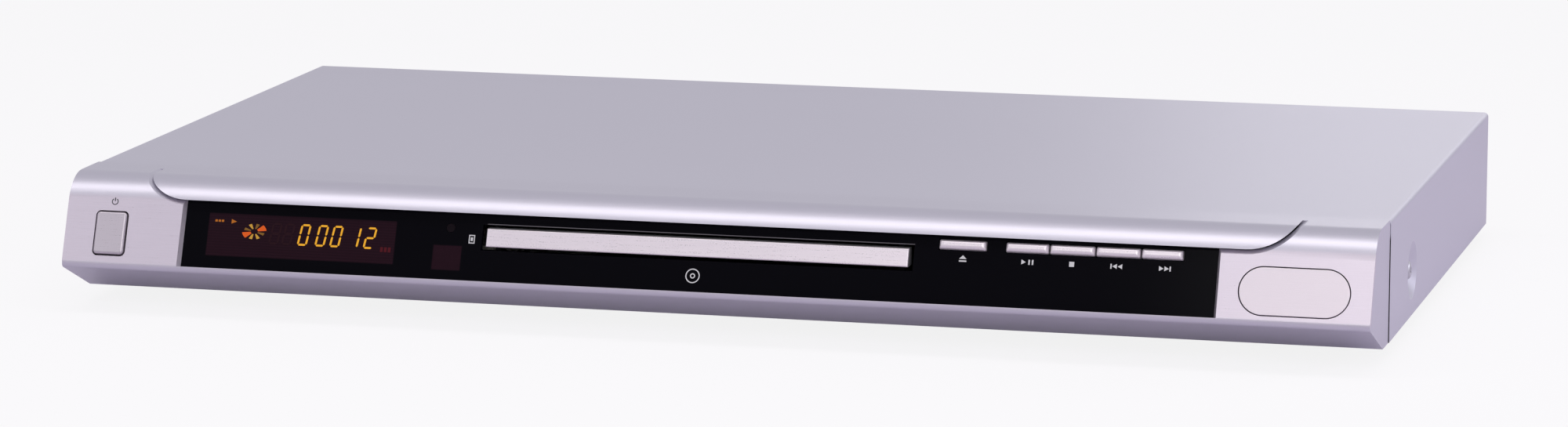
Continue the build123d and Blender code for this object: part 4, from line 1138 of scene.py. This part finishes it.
@dataclass
class Casing:
    """The outside of the player."""

    silver: Colour = (0.565, 0.545, 0.625)
    cover: Colour = (0.585, 0.567, 0.645)
    bright: Colour = (0.72, 0.70, 0.755)
    badge: Colour = (0.63, 0.61, 0.67)
    button: Colour = (0.48, 0.465, 0.52)

    def finishes(self) -> dict[str, Finish]:
        """Gives the finish of each node, by its name."""
        # the seam spans mark where the moulding and the cover get painted shade in the joint
        moulding = SilverPaint("silver_moulding", self.silver, brushed=True, seam=(-96.9, -96.4))
        cover = SilverPaint("silver_cover", self.cover, 0.4, 0.7, seam=(-96.4, -95.85))
        bright = SilverPaint("silver_keys", self.bright, 0.33, 0.6, brushed=True, streaks=0.16)
        steel = DrawnMetal("steel_sheet", (0.55, 0.56, 0.57))
        badge = SilverPaint("silver_badge", self.badge, 0.4, 0.6, brushed=True, streaks=0.3)
        button = SilverPaint("silver_button", self.button, 0.34, 0.7, brushed=True, streaks=0.2)
        return {
            "front_bezel": moulding,
            "brow_trim": SilverPaint("silver_brow", self.silver),
            "top_cover": cover,
            "oval_badge_plate": badge,
            "power_button": button,
            "tray_fascia": bright,
            **{f"{key}_button": bright for key in KEYS},
            "window_panel": BlackWindow(),
            "standby_lamp": Lens("lamp_red", (0.008, 0.0055, 0.0075), 0.0, 0.03),
            "chassis_pan": steel,
            "rear_panel": steel,
            **{f"foot_{end}_{side}": Rubber() for end in ("front", "rear") for side in ("left", "right")},
        }


@dataclass
class Loader:
    """The tray, its drive and the pickup's cradle."""

    dark: Colour = (0.018, 0.018, 0.020)

    def finishes(self) -> dict[str, Finish]:
        """Gives the finish of each node, by its name."""
        natural = MouldedPlastic("gear_plastic", (0.66, 0.64, 0.58), 0.38, 1800.0, 0.01)
        can = DrawnMetal("motor_can", (0.6, 0.6, 0.62), 0.28, Direction.UPRIGHT)
        rod = DrawnMetal("bright_steel", (0.68, 0.68, 0.70), 0.14, Direction.ALONG)
        plated = DrawnMetal("cradle_steel", (0.5, 0.5, 0.52), 0.32, Direction.ALONG)
        dark = MouldedPlastic("dark_plastic", self.dark, 0.45)
        thread = Striped("screw_thread", (0.6, 0.6, 0.62), (0.25, 0.25, 0.26), "Y", 3.0, 0.4, 1.0, 0.25)
        return {
            "disc_tray": MouldedPlastic("tray_plastic", (0.024, 0.024, 0.027), 0.52, 2200.0, 0.03),
            "loader_frame": MouldedPlastic("frame_plastic", (0.03, 0.03, 0.034), 0.55),
            **dict.fromkeys(("cam_slider", "tray_drive_gear", "pulley_gear", "motor_pulley"), natural),
            "drive_belt": Rubber("belt_rubber"),
            **dict.fromkeys(("loading_motor", "spindle_motor", "sled_motor"), can),
            "traverse_cradle": plated,
            "clamp_bridge": DrawnMetal("bridge_steel", (0.55, 0.56, 0.57)),
            "clamper_puck": dark,
            "turntable": MouldedPlastic("turntable_plastic", (0.05, 0.05, 0.054), 0.3),
            "guide_rods": rod,
            "lead_screw": thread,
            "pickup_sled": DrawnMetal("pickup_alloy", (0.36, 0.36, 0.38), 0.5, Direction.UPRIGHT, 900.0),
            "pickup_lens": Lens("pickup_glass", (0.12, 0.16, 0.24)),
            "loader_screws": DrawnMetal("loader_screw_steel", (0.42, 0.42, 0.44), 0.3, Direction.UPRIGHT),
        }


@dataclass
class Electronics:
    """The boards, their parts and the sockets."""

    epoxy: Colour = (0.012, 0.012, 0.013)

    def finishes(self) -> dict[str, Finish]:
        """Gives the finish of each node, by its name."""
        board = CircuitBoard()
        dark = MouldedPlastic("socket_plastic", self.epoxy, 0.42)
        core = Striped("core_laminations", (0.10, 0.09, 0.09), (0.30, 0.22, 0.10), "Z", 1.0, 0.35, 0.4, 0.5)
        sleeve = Striped("capacitor_sleeve", (0.015, 0.02, 0.08), (0.45, 0.45, 0.5), "X", 30.0, 0.12)
        return {
            **{f"{use}_board": board for use in ("main", "supply", "front", "key", "power_switch")},
            "main_board_chips": MouldedPlastic("chip_epoxy", self.epoxy, 0.5, 3800.0, 0.012),
            "power_switch": dark,
            "key_switches": dark,
            "infrared_receiver": Lens("receiver_glass", (0.02, 0.006, 0.01)),
            "display_tube": Lens("display_glass", (0.05, 0.055, 0.06)),
            "av_jacks": PhonoSockets(),
            "optical_socket": dark,
            "power_inlet": MainsInlet(),
            "transformer": core,
            "supply_capacitors": sleeve,
            "heatsink": DrawnMetal("heatsink_alloy", (0.62, 0.62, 0.63), 0.4, Direction.UPRIGHT),
            "board_screws": DrawnMetal("board_screw_steel", (0.42, 0.42, 0.44), 0.3, Direction.UPRIGHT),
            "power_harness": MouldedPlastic("wire_sleeve", (0.55, 0.54, 0.5), 0.4, 1500.0, 0.01),
            "key_cable": Striped("flat_cable", (0.62, 0.61, 0.58), (0.32, 0.31, 0.30), "X", 1.25, 0.4),
        }


def dress(nodes: dict[str, bpy.types.Object], finishes: dict[str, Finish]) -> None:
    """Gives CAD nodes their materials.

    Args:
        nodes: The frame's objects, by node name.
        finishes: The finish of each node to dress.
    """
    built: dict[Finish, bpy.types.Material] = {}
    for name, finish in finishes.items():
        if finish not in built:
            built[finish] = finish.build()
        mesh = nodes[name].data
        mesh.materials.clear()
        mesh.materials.append(built[finish])
        LOG.info("dressed %s with %s", name, built[finish].name)


# ------------------------------------------------------------------ studio
@dataclass(frozen=True)
class SoftLamp:
    """A soft rectangular lamp that faces the player; metres and watts."""

    name: str
    at: Place
    size: Point
    power: float
    colour: Colour = (1.0, 1.0, 1.0)
    aim: Place = (0.0, 0.0, 0.02)

    def build(self) -> None:
        """Hangs the lamp."""
        data = bpy.data.lights.new(self.name, "AREA")
        data.shape, data.size, data.size_y = "RECTANGLE", self.size[0], self.size[1]
        data.energy, data.color = self.power, self.colour
        lamp = bpy.data.objects.new(self.name, data)
        lamp.location = self.at
        lamp.rotation_euler = (Vector(self.aim) - Vector(self.at)).to_track_quat("-Z", "Y").to_euler()
        lamp.visible_camera = False
        bpy.context.scene.collection.objects.link(lamp)


@dataclass
class Studio:
    """The camera, the soft lamps, and the pale floor and surroundings."""

    camera_at: Place = (0.47962, -1.83908, 0.35676)
    camera_turn: Place = (math.pi / 2 - 0.1754, 0.0, 0.2582)
    lens: float = 131.2
    pale: Colour = (1.0, 1.0, 1.0)
    reflected: Colour = (0.66, 0.65, 0.70)
    ambient: Colour = (0.60, 0.60, 0.66)
    ambient_strength: float = 0.5
    floor_size: float = 14.0
    floor_paint: Colour = (0.86, 0.79, 0.93)
    floor_seen: float = 0.86
    floor_glossy: float = 0.12
    lamps: tuple[SoftLamp, ...] = (
        SoftLamp("overhead", (0.05, -0.35, 1.5), (2.4, 0.6), 10.2, (1.0, 0.98, 0.945)),
        SoftLamp("front_right", (0.5, -1.75, 1.05), (1.5, 0.9), 8.5, (1.0, 0.985, 0.94)),
        SoftLamp("front_left", (-1.3, -1.4, 0.9), (0.9, 0.8), 2.0),
        SoftLamp("right", (1.9, 0.5, 0.7), (1.5, 1.0), 9.2, (0.90, 0.91, 1.0)),
        SoftLamp("rear", (0.35, 2.6, 0.65), (1.5, 0.5), 2.8),
    )

    def camera(self) -> None:
        """Sets the camera where the photograph was taken."""
        data = bpy.data.cameras.new("camera")
        data.lens, data.sensor_width, data.sensor_fit = self.lens, 36.0, "HORIZONTAL"
        data.clip_start, data.clip_end = 0.05, 30.0
        camera = bpy.data.objects.new("camera", data)
        camera.location, camera.rotation_euler = self.camera_at, self.camera_turn
        bpy.context.scene.collection.objects.link(camera)
        bpy.context.scene.camera = camera

    def world(self) -> None:
        """Makes the surroundings pale to the camera, softer in reflections and dimmer as a lamp."""
        world = bpy.data.worlds.new("surroundings")
        bpy.context.scene.world = world
        tree = NodeTree(world)
        rays = tree.node("ShaderNodeLightPath", {}, {}).outputs
        seen = Value(tree, rays["Is Camera Ray"]) + Value(tree, rays["Is Transmission Ray"])
        shown, reflected, lit = (
            tree.node("ShaderNodeBackground", {}, {"Color": colour, "Strength": strength})
            for colour, strength in (
                (self.pale, 1.0),
                (self.reflected, 1.0),
                (self.ambient, self.ambient_strength),
            )
        )
        unseen = tree.mix_shader(Value(tree, rays["Is Glossy Ray"]), lit, reflected)
        mixed = tree.mix_shader(seen, unseen, shown)
        tree.node("ShaderNodeOutputWorld", {}, {0: mixed.outputs[0]})

    def floor(self) -> None:
        """Lays the pale floor, which keeps a light shadow."""
        graph = Graph("floor")
        rays = graph.node("ShaderNodeLightPath", {}, {}).outputs
        seen = Value(graph, rays["Is Camera Ray"]) * self.floor_seen
        seen = seen + Value(graph, rays["Is Glossy Ray"]) * self.floor_glossy
        paint = graph.node("ShaderNodeBsdfDiffuse", {}, {"Color": self.floor_paint})
        glow = graph.node("ShaderNodeEmission", {}, {"Color": self.pale, "Strength": 1.0})
        mixed = graph.mix_shader(seen, paint, glow)
        graph.node("ShaderNodeOutputMaterial", {}, {0: mixed.outputs[0]})
        bm = bmesh.new()
        bmesh.ops.create_grid(bm, x_segments=1, y_segments=1, size=self.floor_size)
        mesh = bpy.data.meshes.new("floor")
        bm.to_mesh(mesh)
        bm.free()
        floor = bpy.data.objects.new("floor", mesh)
        floor.data.materials.append(graph.material)
        bpy.context.scene.collection.objects.link(floor)

    def build(self) -> None:
        """Sets up the camera, surroundings, floor and lamps."""
        bpy.context.scene.view_settings.view_transform = "Standard"
        self.camera()
        self.world()
        self.floor()
        for lamp in self.lamps:
            lamp.build()


def corners(pair: tuple[Any, Any]) -> list[list[float]]:
    """Gives a box's two corners as plain lists of numbers."""
    return [[float(part) for part in corner] for corner in pair]


def main() -> None:
    """Loads the frame, dresses it and adds the pieces that only show."""
    logging.basicConfig(level=logging.INFO, format="%(name)s: %(message)s")
    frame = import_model()
    Studio().build()
    for assembly in (Casing(), Loader(), Electronics()):
        dress(frame["nodes"], assembly.finishes())
    Display().build()
    PrintedMarks().build()
    CrossHeadScrews().build()


if __name__ == "__main__":
    main()
